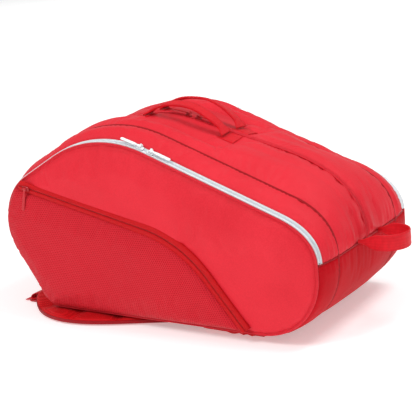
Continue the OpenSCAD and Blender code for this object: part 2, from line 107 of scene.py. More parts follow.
CREST = np.array([-0.112, 0.393])
HEEL_X = -0.268
TOP_FALL, SHOULDER_FALL, NOSE_LEAN = 20.9, 29.2, 57.6
CENTRE_FALL, CENTRE_DROP = 15.6, 0.005
CREST_R, NOSE_R, HEEL_R, TOE_R = 0.260, 0.111, 0.045, 0.122
RUMP_RUN, CENTRE_RUMP_RUN = 0.078, 0.160
SEAM_RISE, SEAM_SWELL = 0.022, 0.009

MOUTH = np.array([-0.300, 0.274])
MOUTH_FOOT = np.array([0.209, BASE_Z])
MOUTH_FALL, MOUTH_DROP, MOUTH_R, BAND_W = 13.0, 51.3, 0.240, 0.020

# Points along each stretch of a rib, in the order in which the rib runs.
STEPS = {"rump": 26, "top": 74, "crest": 46, "shoulder": 24, "nose": 34, "tail": 12,
         "heel_line": 26, "heel": 12, "floor": 90, "toe": 36, "end": 6}
STARTS = dict(zip(STEPS, np.cumsum([0] + list(STEPS.values())[:-1])))
RIB_N = sum(STEPS.values())
LEFT_SEAM = STARTS["tail"]

# ---- Ribs: the closed outline of the bag at one y ----


def unit(v):
    return v / np.linalg.norm(v, axis=-1, keepdims=True)


def heading(degrees):
    return np.array([np.cos(np.radians(degrees)), np.sin(np.radians(degrees))])


def meet(p, a, q, b):
    """Where the line through p at angle a meets the line through q at angle b."""
    d, e, w = heading(a), heading(b), q - p
    return p + d * (e[0] * w[1] - w[0] * e[1]) / (e[0] * d[1] - d[0] * e[1])


def corner_centre(p, q, s, r):
    """Centre of the circle of radius r that touches both arms of the corner p-q-s."""
    u, v = unit(p - q), unit(s - q)
    return q + unit(u + v) * r / np.sin(np.arccos(u @ v) / 2)


def arc(c, r, a0, a1, n):
    """n points of a circle from angle a0 towards a1, the last one left out."""
    a = np.radians(a0 + (a1 - a0) * np.arange(n) / n)
    return c + r * np.stack([np.cos(a), np.sin(a)], 1)


def line(p, q, n):
    return p + (q - p) * (np.arange(n) / n)[:, None]


def bend(p, q, s, n):
    """n points of the parabola that leaves p towards q and reaches s from q."""
    t = (np.arange(n) / n)[:, None]
    return (1 - t) ** 2 * p + 2 * t * (1 - t) * q + t ** 2 * s


def rib_corners(y, inset=0.0):
    """The five sharp corners of the outline at y, with its swell, fall and share of the middle."""
    share = min(1.0, (SIDE_Y - abs(y)) / (SIDE_Y - SEAM_Y))
    middle = max(0.0, 1 - abs(y) / SEAM_Y)
    rise, swell = SEAM_RISE * share - inset, SEAM_SWELL * share - inset
    fall = TOP_FALL + (CENTRE_FALL - TOP_FALL) * middle
    crest = CREST - [0, CENTRE_DROP * middle]
    top = crest + rise * heading(90 - fall)
    shoulder = crest + rise * heading(90 + SHOULDER_FALL)
    nose = np.array([HEEL_X, BASE_Z]) + swell * heading(180 + 90 - NOSE_LEAN)
    floor, end = np.array([0, BASE_Z + inset]), np.array([END_X + swell, 0])
    c = [meet(end, 90, top, -fall), meet(top, -fall, shoulder, SHOULDER_FALL),
         meet(shoulder, SHOULDER_FALL, nose, -NOSE_LEAN), meet(nose, -NOSE_LEAN, floor, 0),
         meet(floor, 0, end, 90)]
    return c, swell, fall, middle


def crest_at(y):
    """Centre and radius of the crest's arc at y, and the fall of the top there."""
    c, _, fall, _ = rib_corners(y)
    r = CREST_R + SEAM_RISE * min(1.0, (SIDE_Y - abs(y)) / (SIDE_Y - SEAM_Y))
    return corner_centre(c[0], c[1], c[2], r), r, fall


def rib(y, inset=0.0):
    """Outline of the bag at y, moved in by inset, as RIB_N points from the right end seam.

    Five straight lines, each moved out by the dome's rise or swell at y, are rounded where they
    meet: by a parabola at the upper right, and by arcs at the crest, nose, heel and toe.
    """
    c, swell, fall, middle = rib_corners(y, inset)
    radii = {"crest": crest_at(y)[1] - inset, "nose": NOSE_R + swell, "heel": HEEL_R - inset,
             "toe": TOE_R - inset}
    centres = {name: corner_centre(c[k], c[k + 1], c[(k + 2) % 5], radii[name])
               for k, name in enumerate(radii)}

    def at(name, a):
        return centres[name] + radii[name] * heading(a)

    def round_of(name, circle, a0, a1):
        return arc(centres[circle], radii[circle], a0, a1, STEPS[name])

    seam_a = 180 + np.degrees(np.arcsin((centres["nose"][1] - FOLD_Z) / radii["nose"]))
    top_a, left_a, tail_a = 90 - fall, 90 + SHOULDER_FALL, 270 - NOSE_LEAN
    run = RUMP_RUN + (CENTRE_RUMP_RUN - RUMP_RUN) * middle + swell
    rump_end = c[0] + run * heading(180 - fall)
    seam = np.array([c[0][0], FOLD_Z])
    p = {"rump": bend(seam, c[0], rump_end, STEPS["rump"]),
         "top": line(rump_end, at("crest", top_a), STEPS["top"]),
         "crest": round_of("crest", "crest", top_a, left_a),
         "shoulder": line(at("crest", left_a), at("nose", left_a), STEPS["shoulder"]),
         "nose": round_of("nose", "nose", left_a, seam_a),
         "tail": round_of("tail", "nose", seam_a, tail_a),
         "heel_line": line(at("nose", tail_a), at("heel", tail_a), STEPS["heel_line"]),
         "heel": round_of("heel", "heel", tail_a, 270),
         "floor": line(at("heel", 270), at("toe", 270), STEPS["floor"]),
         "toe": round_of("toe", "toe", 270, 360),
         "end": line(at("toe", 0), seam, STEPS["end"])}
    return np.concatenate([p[name] for name in STEPS])


def rib_line(y, i0, i1, inset=0.0):
    """Points i0 to i1 of a rib as an (n, 3) array."""
    q = rib(y, inset)[np.arange(i0, i1 + 1) % RIB_N]
    return np.stack([q[:, 0], np.full(len(q), y), q[:, 1]], 1)


def skin_grid(ys, i0, i1, inset=0.0):
    """The bag's surface as a grid: rib points i0 to i1 by the given y values."""
    return np.stack([rib_line(y, i0, i1, inset) for y in ys], 1)


def grid_normals(g):
    """Outward unit normals of a grid whose rows run round the bag and whose columns run along +Y."""
    return unit(np.cross(np.gradient(g, axis=1), np.gradient(g, axis=0)))


def path_tangents(path, closed=False):
    if closed:
        return unit(np.roll(path, -1, 0) - np.roll(path, 1, 0))
    return unit(np.gradient(path, axis=0))


def path_lengths(path):
    return np.concatenate([[0], np.cumsum(np.linalg.norm(np.diff(path, axis=0), axis=1))])


def even_places(length, step):
    return np.linspace(0, length, max(2, int(round(length / step)) + 1))


def resample(path, step):
    """The same path with points at an even spacing close to step."""
    s = path_lengths(path)
    t = even_places(s[-1], step)
    return np.stack([np.interp(t, s, column) for column in path.T], 1)


def smooth_step(t):
    """0 to 1 with level ends: t^2 (3 - 2 t)."""
    return t * t * (3 - 2 * t)


# ---- Meshes ----


def make_object(name, verts, faces, materials, body, uv=None, face_material=None,
                smooth=True):
    """A mesh object at the origin that rides on a body. uv holds one pair for each vertex."""
    mesh = bpy.data.meshes.new(name)
    mesh.from_pydata(np.asarray(verts, float).tolist(), [], [list(map(int, f)) for f in faces])
    for m in (materials if isinstance(materials, (list, tuple)) else [materials]):
        mesh.materials.append(m)
    if face_material is not None:
        mesh.polygons.foreach_set("material_index", np.asarray(face_material, np.int32))
    if smooth:
        mesh.polygons.foreach_set("use_smooth", np.ones(len(mesh.polygons), bool))
    if uv is not None:
        layer = mesh.uv_layers.new(name="lay")
        loops = np.empty(len(mesh.loops), np.int32)
        mesh.loops.foreach_get("vertex_index", loops)
        layer.data.foreach_set("uv", np.asarray(uv, np.float32)[loops].ravel())
    mesh.update()
    piece = bpy.data.objects.new(name, mesh)
    scene.collection.objects.link(piece)
    if body:
        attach(piece, body)
    return piece


def coords(piece):
    v = np.empty(len(piece.data.vertices) * 3, np.float32)
    piece.data.vertices.foreach_get("co", v)
    return v.reshape(-1, 3).astype(float)


def set_coords(piece, v):
    piece.data.vertices.foreach_set("co", np.asarray(v, np.float32).ravel())
    piece.data.update()


def grid_faces(rows, cols, start=0, wrap_cols=False, flip=False):
    """Quads of a rows x cols grid of vertices."""
    r, c = np.meshgrid(np.arange(rows - 1), np.arange(cols if wrap_cols else cols - 1), indexing="ij")
    a = r * cols + c
    b = r * cols + (c + 1) % cols
    q = np.stack([a, b, b + cols, a + cols], -1).reshape(-1, 4) + start
    return q[:, ::-1] if flip else q


def join_parts(parts):
    """Several (verts, faces) pairs as one."""
    verts, faces, base = [], [], 0
    for v, f in parts:
        verts.append(v)
        faces += [[i + base for i in q] for q in f]
        base += len(v)
    return np.concatenate(verts), faces


def shell_of(outer, inner):
    """Closed shell between two grids: outer faces, inner faces and the four edge walls."""
    n, m = outer.shape[:2]
    verts = np.concatenate([outer.reshape(-1, 3), inner.reshape(-1, 3)])
    half = n * m
    out_faces = grid_faces(n, m)
    in_faces = grid_faces(n, m, half, flip=True)
    i = np.arange(half).reshape(n, m)
    rim = np.concatenate([i[0, :], i[1:, -1], i[-1, -2::-1], i[-2:0:-1, 0]])
    nxt = np.roll(rim, -1)
    walls = np.stack([nxt, rim, rim + half, nxt + half], 1)
    kinds = np.concatenate([np.zeros(len(out_faces)), np.ones(len(in_faces)), np.zeros(len(walls))])
    return verts, np.concatenate([out_faces, in_faces, walls]).tolist(), kinds


def sweep(path, side, up, section, closed=False):
    """A section carried along a path: point + a * side + b * up for each (a, b) of the section.

    section is (m, 2), or (n, m, 2) where it changes along the path. Ends of an open sweep are
    closed by one face each. Returns vertices, faces and (length along, place round) for each vertex.
    """
    path = np.asarray(path, float)
    n = len(path)
    sec = np.broadcast_to(np.asarray(section, float), (n,) + np.shape(section)[-2:])
    m = sec.shape[1]
    side = np.broadcast_to(side, path.shape)
    up = np.broadcast_to(up, path.shape)
    if np.sum(np.cross(path_tangents(path, closed), side) * up) < 0:
        sec = sec[:, ::-1]
    v = path[:, None] + sec[..., :1] * side[:, None] + sec[..., 1:] * up[:, None]
    faces = grid_faces(n, m, wrap_cols=True).tolist()
    if closed:
        a = (n - 1) * m + np.arange(m)
        faces += np.stack([a, np.roll(a, -1), np.roll(np.arange(m), -1), np.arange(m)], 1).tolist()
    else:
        faces += [list(range(m))[::-1], list(range((n - 1) * m, n * m))]
    along = np.repeat(path_lengths(path), m)
    girth = np.linalg.norm(np.diff(sec[0], axis=0, append=sec[0][:1]), axis=1)
    across = np.tile(np.concatenate([[0], np.cumsum(girth)[:-1]]), n)
    return v.reshape(-1, 3), faces, np.stack([along, across], 1)


def strip_section(width, thick, crown=0.0, n=10):
    """Section of webbing or tape: a flat strip with round edges, its top crowned by crown."""
    r = thick / 2
    x = np.linspace(-width / 2 + r, width / 2 - r, n)
    top = np.stack([x, r + crown * (1 - (2 * x / width) ** 2)], 1)
    bottom = np.stack([x[::-1], np.full(n, -r)], 1)
    a = np.radians([60, 20, -20, -60])
    right = np.stack([width / 2 - r + r * np.cos(a), r * np.sin(a)], 1)
    left = np.stack([-width / 2 + r - r * np.cos(a), -r * np.sin(a)], 1)
    return np.concatenate([top, right, bottom, left])[::-1]


def round_section(r, n=12):
    a = np.arange(n) * 2 * np.pi / n
    return np.stack([r * np.cos(a), r * np.sin(a)], 1)


def superellipsoid(size, plan=0.4, edge=0.5, n=32, m=12):
    """A rounded slab: signed powers of cosine and sine, plan for its outline and edge for its rim."""
    def power(t, e):
        return np.sign(t) * np.abs(t) ** e
    th = np.arange(n) * 2 * np.pi / n
    ph = np.linspace(-np.pi / 2, np.pi / 2, m + 2)[1:-1]
    ring = np.stack([power(np.cos(th), plan), power(np.sin(th), plan)], 1) / 2
    r, z = power(np.cos(ph), edge), power(np.sin(ph), edge) / 2
    v = np.concatenate([np.concatenate([r[i] * ring, np.full((n, 1), z[i])], 1) for i in range(m)])
    v = np.concatenate([v, [[0, 0, -0.5], [0, 0, 0.5]]]) * np.asarray(size)
    faces = grid_faces(m, n, wrap_cols=True).tolist()
    k = np.arange(n)
    faces += np.stack([np.roll(k, -1), k, np.full(n, m * n)], 1).tolist()
    last = (m - 1) * n
    faces += np.stack([last + k, last + np.roll(k, -1), np.full(n, m * n + 1)], 1).tolist()
    return v, faces


def moved(part, at=(0, 0, 0), turn=None):
    """A (verts, faces) pair turned by a 3 x 3 matrix and moved."""
    v, f = part[:2]
    v = v if turn is None else v @ np.asarray(turn).T
    return v + np.asarray(at), f


def turned(axis, degrees):
    return np.array(Matrix.Rotation(math.radians(degrees), 3, axis))


def beads(path, side, up, offset, lift, pitch, size, plan=0.9):
    """A row of small rounded blocks along a path: size is (along, across, thick)."""
    path = path + side * offset + up * lift
    s = path_lengths(path)
    t = np.arange(pitch, s[-1] - pitch, pitch)
    up = np.broadcast_to(up, path.shape)
    lines = np.concatenate([path, path_tangents(path), up], 1)
    at, tan, nor = np.split(np.stack([np.interp(t, s, q) for q in lines.T], 1), 3, axis=1)
    tan = unit(tan)
    nor = unit(nor - tan * np.sum(tan * nor, 1, keepdims=True))
    lat = np.cross(nor, tan)
    bead, faces = superellipsoid(size, plan, 0.9, 6, 3)
    axes = np.stack([tan, lat, nor], 1)
    v = at[:, None] + np.einsum("bk,nkc->nbc", bead, axes)
    all_faces = np.concatenate([np.array([[f[0], f[1], f[2], f[-1]] for f in faces]) + len(bead) * j
                                for j in range(len(t))])
    return v.reshape(-1, 3), [list(dict.fromkeys(f)) for f in all_faces.tolist()]


def stitches(path, side, up, offset=0.0, lift=0.3 * MM, pitch=4.2 * MM):
    """A row of thread stitches along a path, each a little sunk."""
    return beads(path, side, up, offset, lift, pitch, (pitch * 0.74, 0.65 * MM, 0.6 * MM))


def no_uv(part):
    """A (verts, faces) pair with a place of zero on the cloth for each vertex."""
    v, f = part[:2]
    return v, f, np.zeros((len(v), 2))


def mirrored(part):
    """The rear twin of a front (verts, faces) pair."""
    v, f = part[:2]
    return v * [1, -1, 1], [list(q)[::-1] for q in f]


# ---- Materials ----


def new_group(name, outputs, pitch=None):
    """An empty shader node group with a Vector and perhaps a Pitch going in, and numbers coming out."""
    group = bpy.data.node_groups.new(name, "ShaderNodeTree")
    group.interface.new_socket("Vector", in_out="INPUT", socket_type="NodeSocketVector")
    if pitch is not None:
        socket = group.interface.new_socket("Pitch", in_out="INPUT", socket_type="NodeSocketFloat")
        socket.default_value = pitch
    for label in outputs:
        group.interface.new_socket(label, in_out="OUTPUT", socket_type="NodeSocketFloat")
    return group, group.nodes.new("NodeGroupInput"), group.nodes.new("NodeGroupOutput")


class Wiring:
    """Short calls for adding and joining nodes in one tree."""

    def __init__(self, tree):
        self.tree = tree

    def node(self, kind, **settings):
        n = self.tree.nodes.new(kind)
        for key, value in settings.items():
            setattr(n, key, value)
        return n

    def put(self, socket, value):
        if isinstance(value, bpy.types.NodeSocket):
            self.tree.links.new(value, socket)
        else:
            socket.default_value = value

    def math(self, operation, a, b=0.0, c=0.0):
        n = self.node("ShaderNodeMath", operation=operation)
        for socket, value in zip(n.inputs, (a, b, c)):
            self.put(socket, value)
        return n.outputs[0]

    def length(self, x, y):
        """Length of the flat vector (x, y)."""
        flat = self.node("ShaderNodeCombineXYZ")
        self.put(flat.inputs["X"], x)
        self.put(flat.inputs["Y"], y)
        n = self.node("ShaderNodeVectorMath", operation="LENGTH")
        self.put(n.inputs[0], flat.outputs[0])
        return n.outputs["Value"]

    def noise(self, vector, scale, detail=3.0, rough=0.5):
        n = self.node("ShaderNodeTexNoise")
        for label, value in (("Vector", vector), ("Scale", scale), ("Detail", detail),
                             ("Roughness", rough)):
            self.put(n.inputs[label], value)
        return n.outputs["Fac"]

    def remap(self, value, low, high, to_low=0.0, to_high=1.0):
        n = self.node("ShaderNodeMapRange")
        for socket, v in zip(n.inputs, (value, low, high, to_low, to_high)):
            self.put(socket, v)
        return n.outputs[0]

    def separate(self, vector):
        n = self.node("ShaderNodeSeparateXYZ")
        self.put(n.inputs[0], vector)
        return n.outputs


def group_weave():
    """Plain weave: warp and weft threads that pass over each other, with slubs and slow unevenness."""
    g, i, o = new_group("cloth_weave", ("Height", "Tone"), 0.7 * MM)
    w = Wiring(g)
    p = i.outputs["Vector"]
    x, y, z = w.separate(p)
    inv = w.math("DIVIDE", 2 * math.pi, i.outputs["Pitch"])
    warp = w.math("SINE", w.math("MULTIPLY", w.math("ADD", x, w.math("MULTIPLY", y, 0.35)), inv))
    weft = w.math("SINE", w.math("MULTIPLY", w.math("ADD", z, w.math("MULTIPLY", y, 0.7)), inv))
    cross = w.math("MULTIPLY", warp, weft)
    slub = w.noise(p, 900.0, 2.0)
    w.put(o.inputs["Height"], w.math("MULTIPLY_ADD", cross, 0.5, w.math("MULTIPLY", slub, 0.8)))
    slow = w.noise(p, 7.0, 3.0)
    grain = w.noise(p, 420.0, 2.0)
    w.put(o.inputs["Tone"], w.math("MULTIPLY_ADD", grain, 0.45, w.math("MULTIPLY", slow, 0.55)))
    return g


def group_honeycomb():
    """Round cells on a staggered lattice: the nearer of two grids, the second moved half a cell."""
    g, i, o = new_group("honeycomb", ("Cell", "Rim"), 4.4 * MM)
    w = Wiring(g)
    x, _, z = w.separate(i.outputs["Vector"])
    px = w.math("DIVIDE", x, i.outputs["Pitch"])
    pz = w.math("DIVIDE", z, w.math("MULTIPLY", i.outputs["Pitch"], math.sqrt(3)))

    def nearest(shift):
        u = w.math("SUBTRACT", w.math("FRACT", w.math("ADD", px, 100 + shift)), 0.5)
        v = w.math("SUBTRACT", w.math("FRACT", w.math("ADD", pz, 100 + shift)), 0.5)
        return w.length(u, w.math("MULTIPLY", v, math.sqrt(3)))

    d = w.math("MINIMUM", nearest(0.0), nearest(0.5))
    w.put(o.inputs["Cell"], w.remap(d, 0.50, 0.30))
    w.put(o.inputs["Rim"], w.remap(d, 0.36, 0.52))
    return g


def group_ribs():
    """Webbing: round ribs across the width and a fine herringbone along it, on the piece's own UV."""
    g, i, o = new_group("webbing_ribs", ("Height", "Tone"), 1.6 * MM)
    w = Wiring(g)
    u, v, _ = w.separate(i.outputs["Vector"])
    inv = w.math("DIVIDE", 2 * math.pi, i.outputs["Pitch"])
    fold = w.math("ABSOLUTE", w.math("SINE", w.math("MULTIPLY", v, 650.0)))
    twill = w.math("SINE", w.math("MULTIPLY", w.math("MULTIPLY_ADD", fold, 0.0012, u), inv))
    cord = w.math("SINE", w.math("MULTIPLY", v, w.math("MULTIPLY", inv, 0.8)))
    w.put(o.inputs["Height"], w.math("MULTIPLY_ADD", twill, 0.5, w.math("MULTIPLY", cord, 0.25)))
    w.put(o.inputs["Tone"], w.noise(i.outputs["Vector"], 160.0, 3.0))
    return g


def group_wear():
    """Slow patches of dust and handling, as a mask from 0 to 1."""
    g, i, o = new_group("handling", ("Mask",))
    w = Wiring(g)
    n = w.noise(i.outputs["Vector"], 11.0, 5.0, 0.6)
    fine = w.noise(i.outputs["Vector"], 260.0, 2.0, 0.6)
    w.put(o.inputs["Mask"], w.remap(w.math("MULTIPLY_ADD", fine, 0.25, n), 0.45, 0.85))
    return g


WEAVE, HONEYCOMB, RIBS, WEAR = group_weave(), group_honeycomb(), group_ribs(), group_wear()


class Finish:
    """One material: a Principled shader, its coordinates and helpers for colour and bump."""

    def __init__(self, name, on_uv=False, **fixed):
        self.material = bpy.data.materials.new(name)
        self.material.use_nodes = True
        self.tree = self.material.node_tree
        self.w = Wiring(self.tree)
        self.shader = self.tree.nodes["Principled BSDF"]
        for label, value in fixed.items():
            self.shader.inputs[label.replace("_", " ")].default_value = value
        c = self.w.node("ShaderNodeTexCoord")
        self.place = c.outputs["Object"]
        self.lay = c.outputs["UV"] if on_uv else self.place

    def group(self, tree, **values):
        n = self.w.node("ShaderNodeGroup", node_tree=tree)
        for label, value in values.items():
            self.w.put(n.inputs[label], value)
        return n.outputs

    def mix(self, factor, a, b):
        """Colour between a and b, each a colour or another node's output."""
        n = self.w.node("ShaderNodeMix", data_type="RGBA")
        self.w.put(n.inputs["Factor"], factor)
        self.w.put(n.inputs["A"], a if isinstance(a, bpy.types.NodeSocket) else (*a, 1))
        self.w.put(n.inputs["B"], b if isinstance(b, bpy.types.NodeSocket) else (*b, 1))
        return n.outputs["Result"]

    def colour(self, socket):
        self.w.put(self.shader.inputs["Base Color"], socket)

    def rough(self, value, low, high):
        self.w.put(self.shader.inputs["Roughness"], self.w.remap(value, 0.0, 1.0, low, high))

    def bump(self, height, distance, strength=1.0, under=None):
        """Normal from a height that stands for distance metres, laid over another normal."""
        n = self.w.node("ShaderNodeBump")
        n.inputs["Strength"].default_value = strength
        n.inputs["Distance"].default_value = distance
        self.w.put(n.inputs["Height"], height)
        if under is not None:
            self.w.put(n.inputs["Normal"], under)
        return n.outputs["Normal"]

    def normal(self, socket):
        self.w.put(self.shader.inputs["Normal"], socket)


DUST = 0.10


def cloth(name, light, dark, roughness=(0.44, 0.58), sheen=0.03, pitch=0.75 * MM, gloss=0.20):
    """Tightly woven coated polyester with a satin sheen."""
    f = Finish(name, Sheen_Weight=sheen, Sheen_Roughness=0.35, Specular_IOR_Level=gloss)
    weave = f.group(WEAVE, Vector=f.place, Pitch=pitch)
    dust = f.group(WEAR, Vector=f.place)
    base = f.mix(f.w.remap(weave["Tone"], 0.3, 0.7), dark, light)
    dusty = [min(1, c * 1.1 + 0.004) for c in light]
    f.colour(f.mix(f.w.math("MULTIPLY", dust["Mask"], DUST), base, dusty))
    f.rough(weave["Tone"], *roughness)
    crease = f.bump(f.w.noise(f.place, 46.0, 4.0, 0.55), 1.1 * MM, 0.35)
    f.normal(f.bump(weave["Height"], 0.10 * MM, 0.8, crease))
    return f.material


def honeycomb_cloth(name, light, dark, pitch=4.4 * MM):
    """Knitted mesh: open cells painted darker than the glossy rims, as painted shade in their hollows."""
    f = Finish(name, Sheen_Weight=0.03, Sheen_Roughness=0.4, Specular_IOR_Level=0.22)
    cell = f.group(HONEYCOMB, Vector=f.place, Pitch=pitch)
    weave = f.group(WEAVE, Vector=f.place, Pitch=0.9 * MM)
    tone = f.mix(f.w.remap(weave["Tone"], 0.3, 0.7), [c * 0.86 for c in light], light)
    # Painted shade: the sunken middle of each cell takes the dark colour.
    f.colour(f.mix(cell["Cell"], tone, dark))
    f.rough(cell["Cell"], 0.45, 0.75)
    under = f.bump(weave["Height"], 0.08 * MM, 0.6)
    f.normal(f.bump(cell["Rim"], 0.55 * MM, 0.9, under))
    return f.material


def webbing(name, light, dark, pitch=1.7 * MM):
    """Ribbed webbing or tape, its ribs laid out by the piece's own UV, with painted shade in the grooves
    between the ribs.
    """
    f = Finish(name, on_uv=True, Sheen_Weight=0.03, Sheen_Roughness=0.35, Specular_IOR_Level=0.22)
    ribs = f.group(RIBS, Vector=f.lay, Pitch=pitch)
    dust = f.group(WEAR, Vector=f.place)
    # Painted shade: the colour darkens where the ribs sink, mixed with random tone.
    shade = f.w.math("MULTIPLY_ADD", ribs["Height"], 0.35, ribs["Tone"])
    base = f.mix(f.w.remap(shade, 0.15, 0.85), dark, light)
    f.colour(f.mix(f.w.math("MULTIPLY", dust["Mask"], DUST), base, light))
    f.rough(ribs["Tone"], 0.45, 0.62)
    f.normal(f.bump(ribs["Height"], 0.28 * MM, 0.9))
    return f.material


def moulded(name, light, dark, roughness, coat=0.0, grain=0.05 * MM):
    """Moulded or lacquered part: fine grain, handling marks and slightly uneven gloss."""
    f = Finish(name, Coat_Weight=coat, Coat_Roughness=0.15)
    mark = f.group(WEAR, Vector=f.place)
    f.colour(f.mix(mark["Mask"], light, dark))
    f.rough(f.w.noise(f.place, 90.0, 3.0), *roughness)
    f.normal(f.bump(f.w.noise(f.place, 700.0, 2.0), grain, 0.7))
    return f.material


RED = (0.76, 0.022, 0.040)
RED_SHADE = (0.62, 0.010, 0.022)
# DEEP and DEEP_SHADE: the darker satin of the end panels and the bottom, partly their own darker fabric and
# partly painted shade of faces turned away from the light.
DEEP = (0.54, 0.002, 0.010)
DEEP_SHADE = (0.40, 0.001, 0.005)

SATIN = cloth("satin_fabric", RED, RED_SHADE)
# dark_satin carries that painted shade onto the ends, the bottom and the strap anchors.
DARK_SATIN = cloth("dark_satin", DEEP, DEEP_SHADE, (0.50, 0.62), 0.0, gloss=0.07)
# The second colour of each mesh is the painted shade in its open cells.
MESH = honeycomb_cloth("mesh_fabric", (0.76, 0.016, 0.034), (0.50, 0.005, 0.014))
STRAP_MESH = honeycomb_cloth("strap_mesh", (0.88, 0.004, 0.012), (0.56, 0.001, 0.004), 2.6 * MM)
LINING = cloth("lining", (0.030, 0.030, 0.034), (0.016, 0.016, 0.018), (0.55, 0.7), 0.15, 0.9 * MM)
# Binding is darker than the cloth: painted shade of the grooves along the seams it covers.
BINDING = webbing("binding", (0.42, 0.003, 0.010), (0.30, 0.001, 0.005), 1.1 * MM)
PIPING = webbing("piping", RED, RED_SHADE, 1.1 * MM)
WEBBING = webbing("webbing", (0.76, 0.008, 0.020), (0.58, 0.003, 0.010))
WHITE_TAPE = webbing("white_zip", (0.90, 0.93, 0.95), (0.78, 0.83, 0.86), 1.0 * MM)
RED_TAPE = webbing("red_zip", (0.66, 0.001, 0.006), (0.52, 0.001, 0.003), 1.0 * MM)
THREAD = webbing("thread", (0.70, 0.016, 0.030), (0.50, 0.006, 0.014), 0.5 * MM)
WHITE_METAL = moulded("white_metal", (0.86, 0.89, 0.91), (0.74, 0.78, 0.81), (0.18, 0.32), 0.5)
RED_METAL = moulded("red_metal", (0.50, 0.008, 0.016), (0.38, 0.005, 0.010), (0.22, 0.36), 0.4)
WHITE_RUBBER = moulded("white_rubber", (0.84, 0.87, 0.89), (0.74, 0.78, 0.80), (0.42, 0.56))
RED_RUBBER = moulded("red_rubber", (0.60, 0.010, 0.020), (0.46, 0.006, 0.012), (0.40, 0.55))
RED_PLASTIC = moulded("red_plastic", (0.48, 0.006, 0.014), (0.38, 0.004, 0.010), (0.24, 0.38), 0.2)
BOARD = moulded("board", (0.020, 0.020, 0.022), (0.030, 0.030, 0.032), (0.5, 0.65), grain=0.2 * MM)
ZIP_COIL = moulded("zip_coil", (0.76, 0.82, 0.86), (0.66, 0.73, 0.78), (0.25, 0.4))
RED_COIL = moulded("red_zip_coil", (0.34, 0.003, 0.008), (0.22, 0.002, 0.005), (0.25, 0.4))

# ---- Floor and light ----


FLOOR_HALF, FLOOR_GAP = 30.0, 0.4 * MM


def studio():
    """Plain pale floor that glows a little, an even sky, three broad soft lamps and a fourth behind."""
    corners = [(x * FLOOR_HALF, y * FLOOR_HALF, -FLOOR_GAP) for x, y in ((-1, -1), (1, -1), (1, 1), (-1, 1))]
    floor = make_object("floor", corners, [(0, 1, 2, 3)], pale_floor(), None, smooth=False)
    world = bpy.data.worlds.new("sky")
    scene.world = world
    world.use_nodes = True
    world.node_tree.nodes["Background"].inputs["Color"].default_value = (1.0, 1.0, 1.0, 1)
    world.node_tree.nodes["Background"].inputs["Strength"].default_value = 0.46
    lamp("key", (-0.6, -2.0, 2.4), 1.1, 40)
    lamp("fill", (2.6, -1.4, 1.5), 1.6, 7)
    lamp("top", (1.1, 0.3, 2.3), 0.9, 27)
    lamp("backdrop", (-2.6, 4.2, 2.8), 4.0, 170, (-3.6, 5.6, 0.0))


def pale_floor():
    """Matt floor, slightly uneven in tone, with a faint glow of its own."""
    f = Finish("pale_floor", Emission_Color=(1.0, 1.0, 1.0, 1.0), Emission_Strength=0.34)
    f.colour(f.mix(f.w.noise(f.place, 1.5, 2.0), (0.90, 0.90, 0.90), (0.92, 0.92, 0.92)))
    f.rough(f.w.noise(f.place, 30.0), 0.6, 0.7)
    return f.material


def lamp(name, at, size, power, to=(0, 0, 0.15)):
    """A square soft lamp of a size in metres and a power in watts, turned towards a point."""
    data = bpy.data.lights.new(name, "AREA")
    data.size, data.energy = size, power
    light = bpy.data.objects.new(name, data)
    scene.collection.objects.link(light)
    light.location = at
    light.rotation_euler = (Vector(to) - Vector(at)).to_track_quat("-Z", "Y").to_euler()


studio()

# ---- Swelling cloth ----

SWELLS = []
SWELL_FRAMES, PRESSURE = 20, 4.0


def swell_later(piece, sewn, slack, cap):
    """Ask for a cloth simulation of a piece whose sewn points don't move."""
    SWELLS.append((piece, sewn, slack, cap))


def run_swells():
    """Blow all padded pieces up at once, cap how far a point may move, and keep the result."""
    for piece, sewn, slack, _ in SWELLS:
        group = piece.vertex_groups.new(name="sewn")
        group.add(np.nonzero(sewn)[0].tolist(), 1.0, "REPLACE")
        swell = piece.modifiers.new("swell", "CLOTH")
        s = swell.settings
        s.quality = 5
        s.mass = 0.15
        s.tension_stiffness = s.compression_stiffness = 12
        s.shear_stiffness = 4
        s.bending_stiffness = 0.25
        s.air_damping = 2
        s.vertex_group_mass = "sewn"
        s.pin_stiffness = 1
        s.use_pressure = True
        s.uniform_pressure_force = PRESSURE
        s.shrink_min = -slack
        s.effector_weights.gravity = 0
        swell.collision_settings.use_collision = False
        swell.collision_settings.use_self_collision = False
        swell.point_cache.frame_start = 1
        swell.point_cache.frame_end = SWELL_FRAMES
    for f in range(1, SWELL_FRAMES + 1):
        scene.frame_set(f)
    graph = bpy.context.evaluated_depsgraph_get()
    for piece, _, _, cap in SWELLS:
        start = coords(piece)
        done = piece.evaluated_get(graph)
        end = np.empty(len(done.data.vertices) * 3, np.float32)
        done.data.vertices.foreach_get("co", end)
        move = end.reshape(-1, 3) - start
        far = np.linalg.norm(move, axis=1, keepdims=True)
        move *= np.minimum(1.0, cap / np.maximum(far, 1e-9))
        piece.modifiers.remove(piece.modifiers["swell"])
        piece.vertex_groups.clear()
        set_coords(piece, start + move)
    scene.frame_set(1)


def between(low, right, up, far, a, b):
    """A value inside a square of four, a along it and b across it."""
    return (1 - a) * (1 - b) * low + a * (1 - b) * right + (1 - a) * b * up + a * b * far


